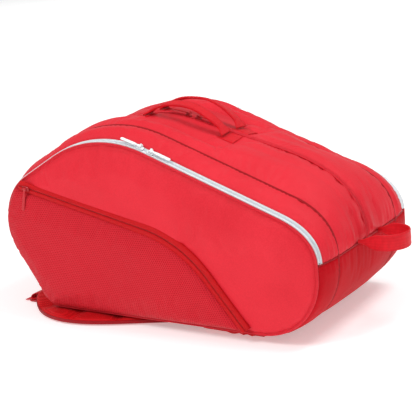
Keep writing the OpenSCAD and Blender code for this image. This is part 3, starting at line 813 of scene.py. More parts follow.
def uneven(shape, seed, coarse):
    """Smooth random numbers between about -1 and 1 on a grid: coarse random values, interpolated."""
    rng = np.random.default_rng(seed)
    n, m = max(3, int(coarse[0])), max(3, int(coarse[1]))
    r = rng.uniform(-1, 1, (n, m))
    u, v = np.linspace(0, n - 1.001, shape[0]), np.linspace(0, m - 1.001, shape[1])
    i, j = u.astype(int), v.astype(int)
    a, b = (u - i)[:, None], (v - j)[None]
    a, b = smooth_step(a), smooth_step(b)
    i, j = i[:, None], j[None]
    i1, j1 = np.minimum(i + 1, n - 1), np.minimum(j + 1, m - 1)
    return between(r[i, j], r[i1, j], r[i, j1], r[i1, j1], a, b)


# ---- Padded skins ----


def edge_round(d, r):
    """0 at an edge and 1 from r inwards, along a quarter circle."""
    t = np.clip(d / r, 0, 1)
    return np.sqrt(np.maximum(0, 1 - (1 - t) ** 2))


def spaced(y0, y1, step):
    """Places from y0 to y1, closer together near both ends."""
    e = np.array([0.0, 1.2, 2.6, 4.6]) * MM
    n = max(2, int(round((y1 - y0 - 2 * e[-1]) / step)))
    return np.concatenate([y0 + e[:-1], np.linspace(y0 + e[-1], y1 - e[-1], n + 1), (y1 - e[:-1])[::-1]])


def along_grid(g):
    """Mean length along the rows of a grid, one value for each row."""
    return np.concatenate([[0], np.cumsum(np.linalg.norm(np.diff(g, axis=0), axis=2).mean(1))])


SKIN_T = 5 * MM
PUCKER_PITCH, FOLD_PITCH, FOLD_REACH = 9 * MM, 7.5 * MM, (16 * MM, 62 * MM)


def padded_skin(name, body, nodes, lanes, i0, i1, finish, hump=None, seed=1, gather=(0, 0),
                puff=3.0 * MM, slack=0.012, held=None, step=6.0 * MM, cap=5 * MM):
    """A stretch of the bag's padded skin, from rib point i0 to i1, sewn down at the lane edges.

    Its outer face is a grid g(i, y) moved along its normals by puff * (4 v (1 - v))^0.7 + hump(x, y)
    + dents + puckers * exp(-d / 8 mm) + fold(y) * exp(-(s / reach(y))^2), with v the place across a
    lane, d the distance to a seam and s the distance to an end. Where held(x, y) is true it stays low.
    """
    ys = np.concatenate([spaced(a, b, step)[1:] for a, b in zip(lanes, lanes[1:])])
    ys = np.concatenate([[lanes[0]], ys])
    outer = skin_grid(ys, i0, i1)
    inner = skin_grid(ys, i0, i1, SKIN_T)
    normals = grid_normals(outer)
    s = along_grid(outer)[:, None]
    gap = np.min(np.abs(ys[:, None] - np.array(lanes)[None]), axis=1)[None]
    lane = np.clip(np.searchsorted(lanes, ys, side="right") - 1, 0, len(lanes) - 2)
    low, high = np.array(lanes)[lane], np.array(lanes)[lane + 1]
    v = ((ys - low) / (high - low))[None]
    ends = edge_round(np.minimum(s, s[-1] - s), 26 * MM)
    tight = edge_round(np.minimum(s, s[-1] - s), 3 * MM) * edge_round(gap, 3 * MM)
    h = -1.0 * MM + 2.0 * MM * tight + puff * (4 * v * (1 - v)) ** 0.7 * ends
    shape, run = outer.shape[:2], s[-1, 0]
    calm = edge_round(gap, 16 * MM) * ends
    h += 1.5 * MM * uneven(shape, seed, (run / (100 * MM), 4)) * calm
    h += 0.6 * MM * uneven(shape, seed + 1, (run / (35 * MM), 8)) * calm
    wander = 2.5 * uneven(shape, seed + 2, (run / (50 * MM), 3))
    h += 0.7 * MM * np.exp(-gap / (8 * MM)) * np.sin(2 * np.pi * s / PUCKER_PITCH + wander) * tight
    knots = np.arange(lanes[0], lanes[-1] + 8 * MM, FOLD_PITCH)
    rng = np.random.default_rng(seed + 3)
    fold = np.interp(ys, knots, rng.uniform(0.25, 1.0, len(knots)) * (-1) ** np.arange(len(knots)))[None]
    reach = np.interp(ys, knots, rng.uniform(*FOLD_REACH, len(knots)))[None]
    for side, size in zip((s, s[-1] - s), gather):
        h += size * fold * np.exp(-(side / reach) ** 2) * edge_round(side, 7 * MM) * tight
    if hump is not None:
        h += hump(outer[..., 0], np.abs(ys)[None]) * ends
    stay = np.zeros(shape, bool) if held is None else held(outer[..., 0], np.abs(ys)[None] + 0 * s)
    creased = 2.2 * MM * np.abs(uneven(shape, seed + 5, (run / (22 * MM), 5))) * calm
    h[stay] = np.minimum(h - creased, 0.4 * MM)[stay]
    verts, faces, kinds = shell_of(outer + normals * h[..., None], inner)
    piece = make_object(name, verts, faces, [finish, LINING], body, face_material=kinds)
    sewn = np.ones(len(verts), bool)
    free = (gap > 1.0 * MM) & (np.minimum(s, s[-1] - s) > 1.0 * MM) & ~stay
    sewn[:free.size] = ~free.ravel()
    swell_later(piece, sewn, slack, cap)
    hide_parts(*nodes)


def centre_hump(x, y):
    """The centre compartment stands up in two rounded ridges, one on each side of the handles."""
    low = np.where(np.abs(x) < 0.115, 0.090, 0.050)
    place = np.clip((y - low) / (SEAM_Y - low), 0, 1)
    return 7 * MM * np.sin(np.pi * place ** 0.9) * np.exp(-((x - 0.04) / 0.22) ** 2)


def side_hump(x, y):
    place = np.clip((y - SEAM_Y) / (ZIP_Y - SEAM_Y), 0, 1)
    return 4 * MM * np.sin(np.pi * place) * np.exp(-((x + 0.02) / 0.22) ** 2)


def under_handles(x, y):
    """Where a folded handle, its patches and the grab loop's feet lie, so that the padding stays low."""
    feet = ((x > -0.125) & (x < -0.080)) | ((x > 0.072) & (x < 0.118))
    folded = (np.abs(x + 0.004) < 0.078) & (y < 0.088)
    return ((y > 0.006) & (y < 0.052) & feet) | folded | ((x > 0.350) & (np.abs(y - 0.044) < 0.011))


END_GATHER = 3.3 * MM

for side, sign in SIDES.items():
    near, far = sorted((sign * (ZIP_Y - 6 * MM), sign * SEAM_Y))
    padded_skin(f"{side}_gusset_skin", "shell", [f"{side}_gusset"], [near, far], 0, LEFT_SEAM, SATIN,
                side_hump, 11 if sign < 0 else 12, (END_GATHER, 1.2 * MM), 3.5 * MM,
                step=3.4 * MM)
    near, far = sorted((sign * 6 * MM, sign * SEAM_Y))
    padded_skin(f"{side}_centre_gusset_skin", "shell", [f"{side}_centre_gusset"], [near, far], 0,
                LEFT_SEAM, SATIN, centre_hump, 21 if sign < 0 else 22,
                (END_GATHER, 1.2 * MM), 2.5 * MM, held=under_handles, step=3.4 * MM)

LANES = [-SIDE_Y, -SEAM_Y, SEAM_Y, SIDE_Y]
padded_skin("right_end_skin", "shell", ["right_end_panel"], LANES, STARTS["toe"], RIB_N, DARK_SATIN,
            None, 31, (0, 1.3 * MM), 2.5 * MM, 0.01, step=5 * MM, cap=3 * MM)
padded_skin("left_end_skin", "shell", ["left_end_panel"], LANES, LEFT_SEAM, STARTS["floor"], DARK_SATIN,
            None, 32, (1.6 * MM, 0), 5 * MM, 0.02, step=8 * MM)
padded_skin("bottom_skin", "shell", ["bottom_panel"], [-SIDE_Y, SIDE_Y], STARTS["floor"],
            STARTS["toe"], DARK_SATIN, None, 33, (0, 0), -1.0 * MM, 0.01,
            held=lambda x, y: np.full(np.broadcast(x, y).shape, True), step=12 * MM)

# ---- Padded patches: flat outlines filled with triangles ----


def inside(p, outline):
    """Which points lie within a closed outline, by counting crossings."""
    a, b = outline, np.roll(outline, -1, 0)
    x, z = p[:, :1], p[:, 1:]
    crosses = (a[:, 1] > z) != (b[:, 1] > z)
    rise = np.where(b[:, 1] == a[:, 1], 1e-12, b[:, 1] - a[:, 1])
    return (crosses & (x < a[:, 0] + (z - a[:, 1]) * (b[:, 0] - a[:, 0]) / rise)).sum(1) % 2 == 1


def edge_distance(p, outline):
    """Distance of each point to a closed outline, and the length round it to the nearest place."""
    a, e = outline, np.roll(outline, -1, 0) - outline
    span = np.linalg.norm(e, axis=1)
    run = np.concatenate([[0], np.cumsum(span)[:-1]])
    w = p[:, None] - a[None]
    t = np.clip((w * e).sum(2) / np.maximum(span ** 2, 1e-12), 0, 1)
    d = np.linalg.norm(w - t[..., None] * e, axis=2)
    k = d.argmin(1)
    rows = np.arange(len(p))
    return d[rows, k], run[k] + t[rows, k] * span[k]


def even_outline(points, step):
    """A closed outline with its points at an even spacing, the first not repeated."""
    return resample(np.concatenate([points, points[:1]]), step)[:-1]


def patch(outline, step, seed):
    """Triangles that fill an outline: points of a jittered staggered grid, joined by Delaunay."""
    rng = np.random.default_rng(seed)
    lo, hi = outline.min(0), outline.max(0)
    rows, cols = np.arange(lo[1] + step / 2, hi[1], step * 0.866), np.arange(lo[0], hi[0], step)
    x, z = np.meshgrid(cols, rows)
    x = x + (np.arange(len(rows)) % 2)[:, None] * step / 2
    p = np.stack([x.ravel(), z.ravel()], 1) + rng.uniform(-0.16, 0.16, (x.size, 2)) * step
    p = p[inside(p, outline)]
    p = p[edge_distance(p, outline)[0] > step * 0.55]
    pts = np.concatenate([outline, p])
    n = len(outline)
    rim = [(i, (i + 1) % n) for i in range(n)]
    out = geometry.delaunay_2d_cdt([Vector(q) for q in pts.tolist()], rim, [], 1, 1e-7)
    flat, faces = np.array([list(q) for q in out[0]]), np.array(out[2])
    a, b, c = flat[faces[:, 0]], flat[faces[:, 1]], flat[faces[:, 2]]
    turn = (b[:, 0] - a[:, 0]) * (c[:, 1] - a[:, 1]) - (b[:, 1] - a[:, 1]) * (c[:, 0] - a[:, 0])
    faces[turn < 0] = faces[turn < 0][:, ::-1]
    return flat, faces


def pad_over(outline, step, seed, place, front, back):
    """A closed pad over a flat outline. front(p, d, s) and back(p, d, s) are its two heights."""
    flat, faces = patch(outline, step, seed)
    d, s = edge_distance(flat, outline)
    n = len(flat)
    top, under = place(flat, front(flat, d, s)), place(flat, back(flat, d, s))
    edges = np.concatenate([faces[:, [0, 1]], faces[:, [1, 2]], faces[:, [2, 0]]])
    key = np.sort(edges, 1)
    _, first, count = np.unique(key, axis=0, return_index=True, return_counts=True)
    rim = edges[first[count == 1]]
    walls = np.stack([rim[:, 1], rim[:, 0], rim[:, 0] + n, rim[:, 1] + n], 1)
    all_faces = faces.tolist() + (faces[:, ::-1] + n).tolist() + walls.tolist()
    kinds = np.concatenate([np.zeros(len(faces)), np.ones(len(faces)), np.zeros(len(walls))])
    sewn = np.concatenate([d < 1e-6, np.ones(n, bool)])
    return np.concatenate([top, under]), all_faces, kinds, sewn


def noise_2d(p, seed, size):
    """Smooth random heights between -1 and 1 over plan points, from random values on a coarse grid."""
    rng = np.random.default_rng(seed)
    lo = p.min(0)
    n = np.ceil((p.max(0) - lo) / size).astype(int) + 2
    r = rng.uniform(-1, 1, n)
    q = (p - lo) / size
    i = q.astype(int)
    a, b = smooth_step(q - i).T
    x, z = i.T
    return between(r[x, z], r[x + 1, z], r[x, z + 1], r[x + 1, z + 1], a, b)


def rib_outline(inset, step=4 * MM):
    """Outline of the side panels at their edge, as (x, z) points."""
    return even_outline(rib(SIDE_Y, inset), step)


def mouth(shift=0.0, step=3 * MM):
    """The pocket's mouth from its left end to its foot: two straight lines and the arc between."""
    upper = MOUTH + shift * heading(90 - MOUTH_FALL)
    lower = MOUTH_FOOT + shift * heading(90 - MOUTH_DROP)
    peak = meet(upper, -MOUTH_FALL, lower, -MOUTH_DROP)
    start, end = upper - 0.1 * heading(-MOUTH_FALL), lower + 0.1 * heading(-MOUTH_DROP)
    r = MOUTH_R + shift
    c = corner_centre(start, peak, end, r)
    bow = arc(c, r, 90 - MOUTH_FALL, 90 - MOUTH_DROP, 60)
    path = resample(np.concatenate([[start], bow, [c + r * heading(90 - MOUTH_DROP)], [end]]), step)
    return path[inside(path, rib(SIDE_Y, 4.5 * MM))]


def mouth_height(x, shift=0.0, left=None, right=None):
    """Height of the mouth over x, with the values to give beyond its two ends."""
    rim = mouth(shift)
    return np.interp(x, rim[:, 0], rim[:, 1], left, right)


def sideways(sign):
    """Places plan points (x, z) at a height out from the middle plane, on one side of the bag."""
    return lambda p, h: np.stack([p[:, 0], np.broadcast_to(sign * h, len(p)), p[:, 1]], 1)


def bend_at_fold(piece):
    """Bake the piece's placement into its mesh."""
    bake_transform(piece)


def turn_out(part, sign):
    """Front parts are built as they are; rear parts are the same faces seen from the other side."""
    v, f = part[:2]
    return (v, f) if sign < 0 else (v, [list(q)[::-1] for q in f])


def puckers(p, d, s, pitch, seed, depth):
    """Ripples beside a seam: depth * exp(-d / 9 mm) * sin(2 pi s / pitch + wander)."""
    ripple = np.sin(2 * np.pi * s / pitch + 3 * noise_2d(p, seed, 60 * MM))
    return depth * np.exp(-d / (9 * MM)) * ripple * edge_round(d, 4 * MM)


def panel_front(p, d, s):
    """Padded side panel: a rounded edge, a slight bulge above the pocket and puckers at the piping."""
    edge, bulge, dents, creases = 6.0 * MM, 5.0 * MM, 1.6 * MM, 0.7 * MM
    h = PANEL_Y - 7 * MM + edge * edge_round(d, 9 * MM)
    calm = edge_round(np.maximum(d - 8 * MM, 0), 60 * MM)
    above = np.clip((p[:, 1] - mouth_height(p[:, 0])) / (50 * MM), 0, 1)
    h += calm * above * (bulge + dents * noise_2d(p, 5, 75 * MM))
    h += above * creases * noise_2d(p, 6, 26 * MM) * edge_round(d, 20 * MM)
    return h + above * puckers(p, d, s, 11 * MM, 8, 0.9 * MM)


def level(h):
    """The back of a pad, the same height all over."""
    return lambda p, d, s: h + 0 * d


def side_panel(side, sign):
    """One padded sheet over the whole side. Its part under the fold is held and doesn't swell."""
    ring = rib_outline(1 * MM)
    v, f, kinds, sewn = pad_over(ring, 6.5 * MM, 3, sideways(sign), panel_front,
                                 level(SIDE_Y + 0.2 * MM))
    v, f = turn_out((v, f), sign)
    piece = make_object(f"{side}_side_panel", v, f, [SATIN, LINING], None,
                        face_material=kinds)
    low = v[:, 2] < FOLD_Z + 0.01
    swell_later(piece, sewn | low, 0.008, 5 * MM)
    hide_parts(f"{side}_lower_panel", f"{side}_flap_panel")
    return piece


def one_run(points, chosen):
    """The chosen points of a closed ring, which lie side by side, in their order round it."""
    start = np.nonzero(chosen & ~np.roll(chosen, 1))[0][0]
    return np.roll(points, -start, 0)[:chosen.sum()]


def pocket_outline():
    """The side's outline under the mouth, closed along the lower edge of the mouth's band."""
    ring = rib_outline(4 * MM)
    below = ring[:, 1] < mouth_height(ring[:, 0], -BAND_W / 2, 1.0, -1.0)
    return even_outline(np.concatenate([one_run(ring, below), mouth(-BAND_W / 2)[::-1]]), 4.5 * MM)


def pocket_front(p, d, s):
    """Unstiffened pocket: tight at its edges, with a low belly, soft dents and a raised mouth."""
    edge, belly, dents, creases, lip = 8.0 * MM, 5.0 * MM, 1.8 * MM, 0.7 * MM, 3.5 * MM
    h = PANEL_Y + 2.0 * MM + edge * edge_round(d, 15 * MM)
    calm = edge_round(np.maximum(d - 6 * MM, 0), 70 * MM)
    h += calm * (belly + dents * noise_2d(p, 15, 85 * MM) + creases * noise_2d(p, 16, 30 * MM))
    top = np.abs(mouth_height(p[:, 0], -BAND_W / 2) - p[:, 1])
    h += lip * np.exp(-(top / (14 * MM)) ** 2) * (1 - edge_round(d, 15 * MM))
    return h + puckers(p, d, s, 10 * MM, 18, 0.6 * MM)


def side_pocket(side, sign):
    """The mesh pocket's panel. Its back is clear of the side panel, which bulges a little."""
    v, f, kinds, sewn = pad_over(pocket_outline(), 5.5 * MM, 4, sideways(sign), pocket_front,
                                 level(PANEL_Y + 0.4 * MM))
    v, f = turn_out((v, f), sign)
    piece = make_object(f"{side}_pocket_panel", v, f, [MESH, MESH], None,
                        face_material=kinds)
    swell_later(piece, sewn, 0.012, 5 * MM)
    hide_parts(f"{side}_pocket_lower", f"{side}_pocket_upper")
    return piece


PANELS = {side: side_panel(side, sign) for side, sign in SIDES.items()}
POCKETS = {side: side_pocket(side, sign) for side, sign in SIDES.items()}

# ---- Base pad and strap pads ----


def base_pad():
    """T-shaped pad on the ground: wide behind the straps and narrow between them."""
    lo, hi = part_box("base_pad")
    step_x, narrow = 0.082, 0.066
    shape = np.array([(hi[0], lo[1]), (hi[0], hi[1]), (step_x, hi[1]), (step_x, narrow), (lo[0], narrow),
                      (lo[0], -narrow), (step_x, -narrow), (step_x, lo[1])])
    ring = even_outline(shape, 6 * MM)
    for _ in range(3):
        ring = (ring + np.roll(ring, 1, 0) + np.roll(ring, -1, 0)) / 3
    part = pad_over(ring, 9 * MM, 9, lambda p, h: np.column_stack([p, np.broadcast_to(h, len(p))]),
                    lambda p, d, s: BASE_Z - 6 * MM + 5.6 * MM * edge_round(d, 8 * MM),
                    lambda p, d, s: 6 * MM - 6 * MM * edge_round(d, 9 * MM))
    piece = make_object("base_pad_cover", part[0], part[1], STRAP_MESH, "shell")
    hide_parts("base_pad")


base_pad()

STRAP_X0, STRAP_L, STRAP_Y, STRAP_BOW = 0.046, 0.392, 0.122, 0.080
STRAP_LOW, STRAP_W = 2.1 * MM, 62 * MM
STRAP_DIPS = (0.17, 0.38, 0.60, 0.81)


def strap_line(k):
    """Centreline of a strap on the ground, k from 0 at its sewn end to 1 at its buckle."""
    bow = STRAP_BOW * np.sin(np.pi * np.clip(k, 0, 1) ** 1.5)
    return np.stack([STRAP_X0 - STRAP_L * k, -STRAP_Y - bow, 0 * k], 1)


def strap_pad(side, sign):
    """Grid along the centreline by the width, two faces, with shallow dips across the top.

    Half width is W / 2 * (1 - |2 k - 1|^6)^0.4. The end at the buckle rises off the ground.
    """
    k = 0.5 - 0.5 * np.cos(np.linspace(0.10, math.pi - 0.10, 76))
    c = strap_line(k)
    t = path_tangents(c)
    n = np.stack([t[:, 1], -t[:, 0], 0 * k], 1)
    half = STRAP_W / 2 * (1 - np.abs(2 * k - 1) ** 6) ** 0.4
    a = np.sin(np.linspace(-np.pi / 2, np.pi / 2, 17))
    flat = c[:, None] + n[:, None] * (half[:, None] * a[None])[..., None]
    s = path_lengths(c)
    d = np.minimum(half[:, None] * (1 - np.abs(a))[None], np.minimum(s, s[-1] - s)[:, None] + 2 * MM)
    rim = edge_round(d, 9 * MM)
    dips = sum(np.exp(-((s - at * s[-1]) / (12 * MM)) ** 2) for at in STRAP_DIPS)
    middle = STRAP_LOW + 5 * MM
    top = middle + 7.4 * MM * rim - 5.0 * MM * dips[:, None] * rim
    top += 0.9 * MM * uneven(d.shape, 41, (14, 4)) * rim
    low = middle - 4.6 * MM * rim
    rise = 9 * MM * smooth_step(np.clip((k - 0.80) / 0.20, 0, 1)[:, None])
    outer, inner = flat.copy(), flat.copy()
    outer[..., 2], inner[..., 2] = top + rise, low + rise
    flat[..., 2] = rise
    v, f, _ = shell_of(outer, inner)
    if np.cross(outer[1, 0] - outer[0, 0], outer[0, 1] - outer[0, 0])[2] > 0:
        f = [q[::-1] for q in f]
    v, f = (v, f) if sign < 0 else mirrored((v, f))
    piece = make_object(f"{side}_strap_cover", v, f, STRAP_MESH, f"{side}_strap")
    sewn = np.ones(len(v), bool)
    free = np.zeros(d.shape, bool)
    free[1:-1, 1:-1] = True
    sewn[:free.size] = ~free.ravel()
    swell_later(piece, sewn, 0.03, 4 * MM)
    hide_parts(f"{side}_strap_pad")
    edge = np.concatenate([flat[:, 0], flat[-1, 1:-1], flat[::-1, -1], flat[0, -2:0:-1]])
    edge = edge * [1, -sign, 1] + [0, 0, STRAP_LOW + 4.7 * MM]
    edge = resample(np.concatenate([edge, edge[:1]]), 5 * MM)[:-1]
    out = unit(np.cross(path_tangents(edge, True), UPWARD))
    part = sweep(edge, out, UPWARD, strip_section(7.4 * MM, 1.8 * MM, 0.3 * MM)[:, ::-1], True)
    make_object(f"{side}_strap_binding", part[0], part[1], BINDING, f"{side}_strap", part[2])


for side, sign in SIDES.items():
    strap_pad(side, sign)

run_swells()

for side, sign in SIDES.items():
    bend_at_fold(PANELS[side])
    bend_at_fold(POCKETS[side])

# ---- Trim: piping, zips and seams ----


def skin_path(y, i0, i1):
    """A line along the bag at y with its sideways and outward directions."""
    g = skin_grid([y - 2 * MM, y, y + 2 * MM], i0, i1)
    return g[:, 1], unit(g[:, 2] - g[:, 0]), grid_normals(g)[:, 1]


def fine(rail, step):
    """Path, side and up resampled together at an even spacing."""
    s = path_lengths(rail[0])
    t = even_places(s[-1], step)
    path, side, up = (np.stack([np.interp(t, s, column) for column in q.T], 1) for q in rail)
    return path, unit(side), unit(up)


def add(name, parts, finish, body, nodes=()):
    """Several parts as one piece. Where finish is a list, each part has its own, the last ones share."""
    parts = parts if isinstance(parts, list) else [parts]
    verts, faces = join_parts([p[:2] for p in parts])
    uv = np.concatenate([p[2] for p in parts]) if all(len(p) > 2 for p in parts) else None
    kinds = None
    if isinstance(finish, list):
        kinds = np.concatenate([np.full(len(p[1]), min(i, len(finish) - 1)) for i, p in enumerate(parts)])
    piece = make_object(name, verts, faces, finish, body, uv, kinds)
    if nodes:
        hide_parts(*nodes)
    return piece


def plane_path(points, h):
    """Plan points (x, z) at y = h."""
    return np.stack([points[:, 0], np.full(len(points), h), points[:, 1]], 1)


PIPE_R = 1.9 * MM


def piping(side, sign):
    """A round cord with a flat flange right round the side."""
    path = plane_path(rib_outline(-0.9 * MM, 3 * MM), sign * (SIDE_Y + 2.9 * MM))
    out = np.cross(path_tangents(path, True), [0, -1.0, 0])
    cord = sweep(path, out, [0, -1.0, 0], round_section(PIPE_R, 12), True)
    flange = sweep(path, out, [0, -1.0, 0], strip_section(4.4 * MM, 1.2 * MM) - [2.2 * MM, 0], True)
    piece = add(f"{side}_piping", [cord, flange], PIPING, None,
                [f"{side}_lower_piping", f"{side}_flap_piping"])
    bend_at_fold(piece)


def panel_stitching(side, sign):
    """Stitches inside the piping, from the pocket's mouth round the top to just above the fold."""
    seam = rib_outline(6.5 * MM, 3 * MM)
    above = seam[:, 1] > mouth_height(seam[:, 0], BAND_W / 2 + 3 * MM, 0.0, 0.0)
    above &= (seam[:, 1] > FOLD_Z + 0.024)
    run = plane_path(one_run(seam, above), sign * (PANEL_Y + 0.4 * MM))
    out = np.cross(path_tangents(run), [0, -1.0, 0])
    add(f"{side}_panel_stitching", stitches(run, out, np.array([0, sign, 0.0])), THREAD, f"{side}_flap")


for side, sign in SIDES.items():
    piping(side, sign)
    panel_stitching(side, sign)

COIL_PITCH, BAR_PITCH, EDGE_PITCH = 1.9 * MM, 3.4 * MM, 3.6 * MM


def zip_half(y, i0, i1, inward, width, lip):
    """Half of a zip: a woven tape with a fold at its outer edge and a coil of teeth at its middle."""
    path, side, up = fine(skin_path(y, i0, i1), 3 * MM)
    side = side * inward
    section = np.array([(0.5, -1.4), (width, -1.4), (width + 0.2, lip * 0.7), (width - 0.2, lip),
                        (width - 0.9, lip - 0.1), (max(5.3, width - 2.4), 0.5), (2.6, 0.35),
                        (2.2, 0.05), (0.5, 0.05)]) * MM
    tape = sweep(path, side, up, section)
    coil = beads(path, side, up, 1.35 * MM, 0.45 * MM, COIL_PITCH, (1.25 * MM, 2.3 * MM, 1.5 * MM), 0.5)
    thread = stitches(path, side, up, (width - 3.6) * MM, 0.45 * MM, BAR_PITCH)
    return [tape, no_uv(coil), no_uv(thread)]


for side, sign in SIDES.items():
    for half, body, i0, i1, way, width, lip in (
            ("inner", "shell", 0, LEFT_SEAM, -sign, 6.0, 1.0),
            ("outer", f"{side}_flap", 1, LEFT_SEAM - 1, sign, 9.0, 4.4)):
        add(f"{side}_zip_{half}", zip_half(sign * ZIP_Y, i0, i1, way, width, lip),
            [WHITE_TAPE, ZIP_COIL, WHITE_TAPE], body, [f"{side}_{half}_tape"])


def centre_zip():
    """Two folded lips with a sunk coil between them."""
    rail = fine(skin_path(0.0, 0, LEFT_SEAM), 3 * MM)
    half = [(6.4, -1.6), (6.9, 0.9), (6.2, 1.7), (5.4, 1.1), (4.6, 0.3), (3.6, 0.5), (2.6, 1.1),
            (1.5, 1.0), (1.1, 0.3), (1.0, -0.6)]
    section = np.array(half + [(-a, b) for a, b in half[::-1]]) * MM
    coil = beads(*rail, 0.0, -0.3 * MM, COIL_PITCH, (1.3 * MM, 1.9 * MM, 1.0 * MM), 0.5)
    add("centre_zip", [sweep(*rail, section), no_uv(coil)], [PIPING, RED_COIL], "shell",
        ["centre_zip_tapes"])


centre_zip()


def seam_binding():
    """Bound seams over both dividers, in two runs each: two soft ridges with stitches between them."""
    a = np.linspace(-1, 1, 21)
    ridge = (0.9 + 1.5 * np.sin(np.pi * np.abs(a)) ** 0.7) * np.sqrt(1 - 0.8 * a ** 8)
    section = np.concatenate([[(-3.6, -1.2), (3.6, -1.2)], np.stack([a * 3.6, ridge], 1)[::-1]]) * MM
    rails = [fine(skin_path(y, i0, i1), 3 * MM) for y in (-SEAM_Y, SEAM_Y)
             for i0, i1 in ((0, STARTS["floor"]), (STARTS["toe"], RIB_N))]
    strips = [sweep(*rail, section) for rail in rails]
    rows = [stitches(*rail, 0.0, 1.1 * MM) for rail in rails]
    add("seam_binding_strips", strips, BINDING, "shell", ["seam_bindings"])
    add("seam_binding_thread", rows, THREAD, "shell")


seam_binding()


def end_seams():
    """The thin raised ridges where the top meets both end panels."""
    for name, i in (("right", 0), ("left", LEFT_SEAM)):
        ys = np.linspace(-SIDE_Y + 2 * MM, SIDE_Y - 2 * MM, 120)
        rows = skin_grid(ys, i, i + 2)
        up = grid_normals(rows)[0]
        side = unit(rows[1] - rows[0])
        ridge = sweep(rows[0], side, up, round_section(1.5 * MM, 10) * [1.3, 1.0] + [0, 0.3 * MM])
        thread = stitches(rows[0], side, up, -4.0 * MM, 1.0 * MM)
        add(f"{name}_end_seam", [ridge, no_uv(thread)], [BINDING, THREAD], "shell")


end_seams()


def pocket_zip(side, sign):
    """Raised band over the pocket's mouth: two lips, a sunk coil and stitching, wider at the bend."""
    flat = mouth(0.0, 2.5 * MM)
    path = plane_path(flat, sign * PANEL_Y)
    up = np.broadcast_to([0, float(sign), 0], path.shape)
    across = np.cross(up, path_tangents(path)) * (-sign)
    across = across * np.sign(across[:, 2:].sum())
    s = path_lengths(path)
    wide = 1.0 + 0.28 * np.exp(-((s - 0.62 * s[-1]) / 0.10) ** 2)
    base = np.array([(-9.6, 0.4), (9.6, 0.4), (10.0, 2.2), (9.2, 4.6), (7.4, 6.4), (4.4, 7.3),
                     (1.5, 7.7), (1.0, 7.2), (0.9, 6.2), (-0.9, 6.2), (-1.0, 7.2), (-1.5, 8.0),
                     (-4.4, 8.1), (-8.0, 7.8), (-9.6, 6.8), (-10.0, 4.0)]) * MM
    section = base[None] * np.stack([wide, np.ones(len(s))], 1)[:, None]
    band = sweep(path, across, up, section)
    coil = beads(path, across, up, 0.0, 6.5 * MM, COIL_PITCH, (1.3 * MM, 1.7 * MM, 1.3 * MM), 0.5)
    rows = [stitches(path, across, up, a * MM, h * MM, EDGE_PITCH) for a, h in ((3.6, 7.6), (-3.8, 8.2))]
    piece = add(f"{side}_pocket_zip", [band] + [no_uv(r) for r in [coil] + rows],
                [RED_TAPE, RED_COIL, THREAD], None,
                [f"{side}_pocket_zip_lower", f"{side}_pocket_zip_upper"])
    bend_at_fold(piece)


for side, sign in SIDES.items():
    pocket_zip(side, sign)

# ---- Sliders and pulls ----

PIN_Z, EYE_W = 7.2 * MM, 6.2 * MM
PULL_L, PULL_W = 46 * MM, 6.5 * MM


def ring_about_y(r, width, thick, n=24):
    """A short tube round the Y axis."""
    a = np.arange(n) * 2 * np.pi / n
    path = np.stack([r * np.cos(a), 0 * a, r * np.sin(a)], 1)
    return sweep(path, np.array([0, 1.0, 0]), unit(path), strip_section(width, thick, 0, 5), True)[:2]


def slider_part(turn=0.0):
    """Rounded slider body with a waist, a low bridge and two rings that hold the pull's pin."""
    v, f = superellipsoid((15 * MM, 10 * MM, 3 * MM), 0.45, 0.45, 40, 10)
    v = v * np.stack([np.ones(len(v)), 1 - 0.20 * (np.abs(v[:, 0]) / (7.5 * MM)) ** 2, np.ones(len(v))], 1)
    parts = [moved((v, f), (0, 0, 2.7 * MM), turned("Z", turn))]
    for y in (-4.25, 4.25):
        parts.append(moved(ring_about_y(2.9 * MM, 1.4 * MM, 1.5 * MM, 28), (0, y * MM, 6.2 * MM)))
    pin = np.stack([np.zeros(9), np.linspace(-4.9, 4.9, 9) * MM, np.full(9, PIN_Z)], 1)
    parts.append(sweep(pin, [1.0, 0, 0], UPWARD, round_section(0.98 * MM, 14))[:2])
    a = np.linspace(0, np.pi, 20)
    bow = np.stack([5.4 * MM * np.cos(a), 0 * a, 3.2 * MM + 1.2 * MM * np.sin(a) ** 0.6], 1)
    parts.append(moved(sweep(bow, [0, 1.0, 0], np.cross(path_tangents(bow), [0, -1.0, 0]),
                             strip_section(3.0 * MM, 1.2 * MM, 0.2 * MM, 5))[:2], turn=turned("Z", turn)))
    return join_parts(parts)


def pull_part():
    """A pull that lies along +X from its pin: an eye, a waist, and a grooved grip with a round end."""
    x = np.linspace(1.9 * MM, PULL_L, 90)
    t = (x - x[0]) / (x[-1] - x[0])
    waist = 1 - 0.42 * np.exp(-((x - 8 * MM) / (4.0 * MM)) ** 2)
    tip = np.sqrt(np.maximum(1e-4, 1 - np.clip((x - PULL_L + 3.2 * MM) / (3.2 * MM), 0, 1) ** 2))
    width = PULL_W / 2 * waist * tip
    grip = np.clip((x - 16 * MM) / (3 * MM), 0, 1) * np.clip((40 * MM - x) / (3 * MM), 0, 1)
    grooves = 1 - 0.30 * grip * (0.5 - 0.5 * np.cos(2 * np.pi * x / (3.0 * MM))) ** 2
    thick = 1.3 * MM * (0.85 + 0.15 * t) * np.sqrt(tip) * grooves
    a = np.arange(20) * 2 * np.pi / 20
    ring = np.stack([np.sign(np.cos(a)) * np.abs(np.cos(a)) ** 0.55,
                     np.sign(np.sin(a)) * np.abs(np.sin(a)) ** 0.75], 1)
    section = ring[None] * np.stack([width, thick], 1)[:, None]
    path = np.stack([x, 0 * x, 0 * x], 1)
    shank = sweep(path, [0, 1.0, 0], UPWARD, section)[:2]
    return join_parts([shank, ring_about_y(1.72 * MM, EYE_W - 0.2 * MM, 1.1 * MM)])


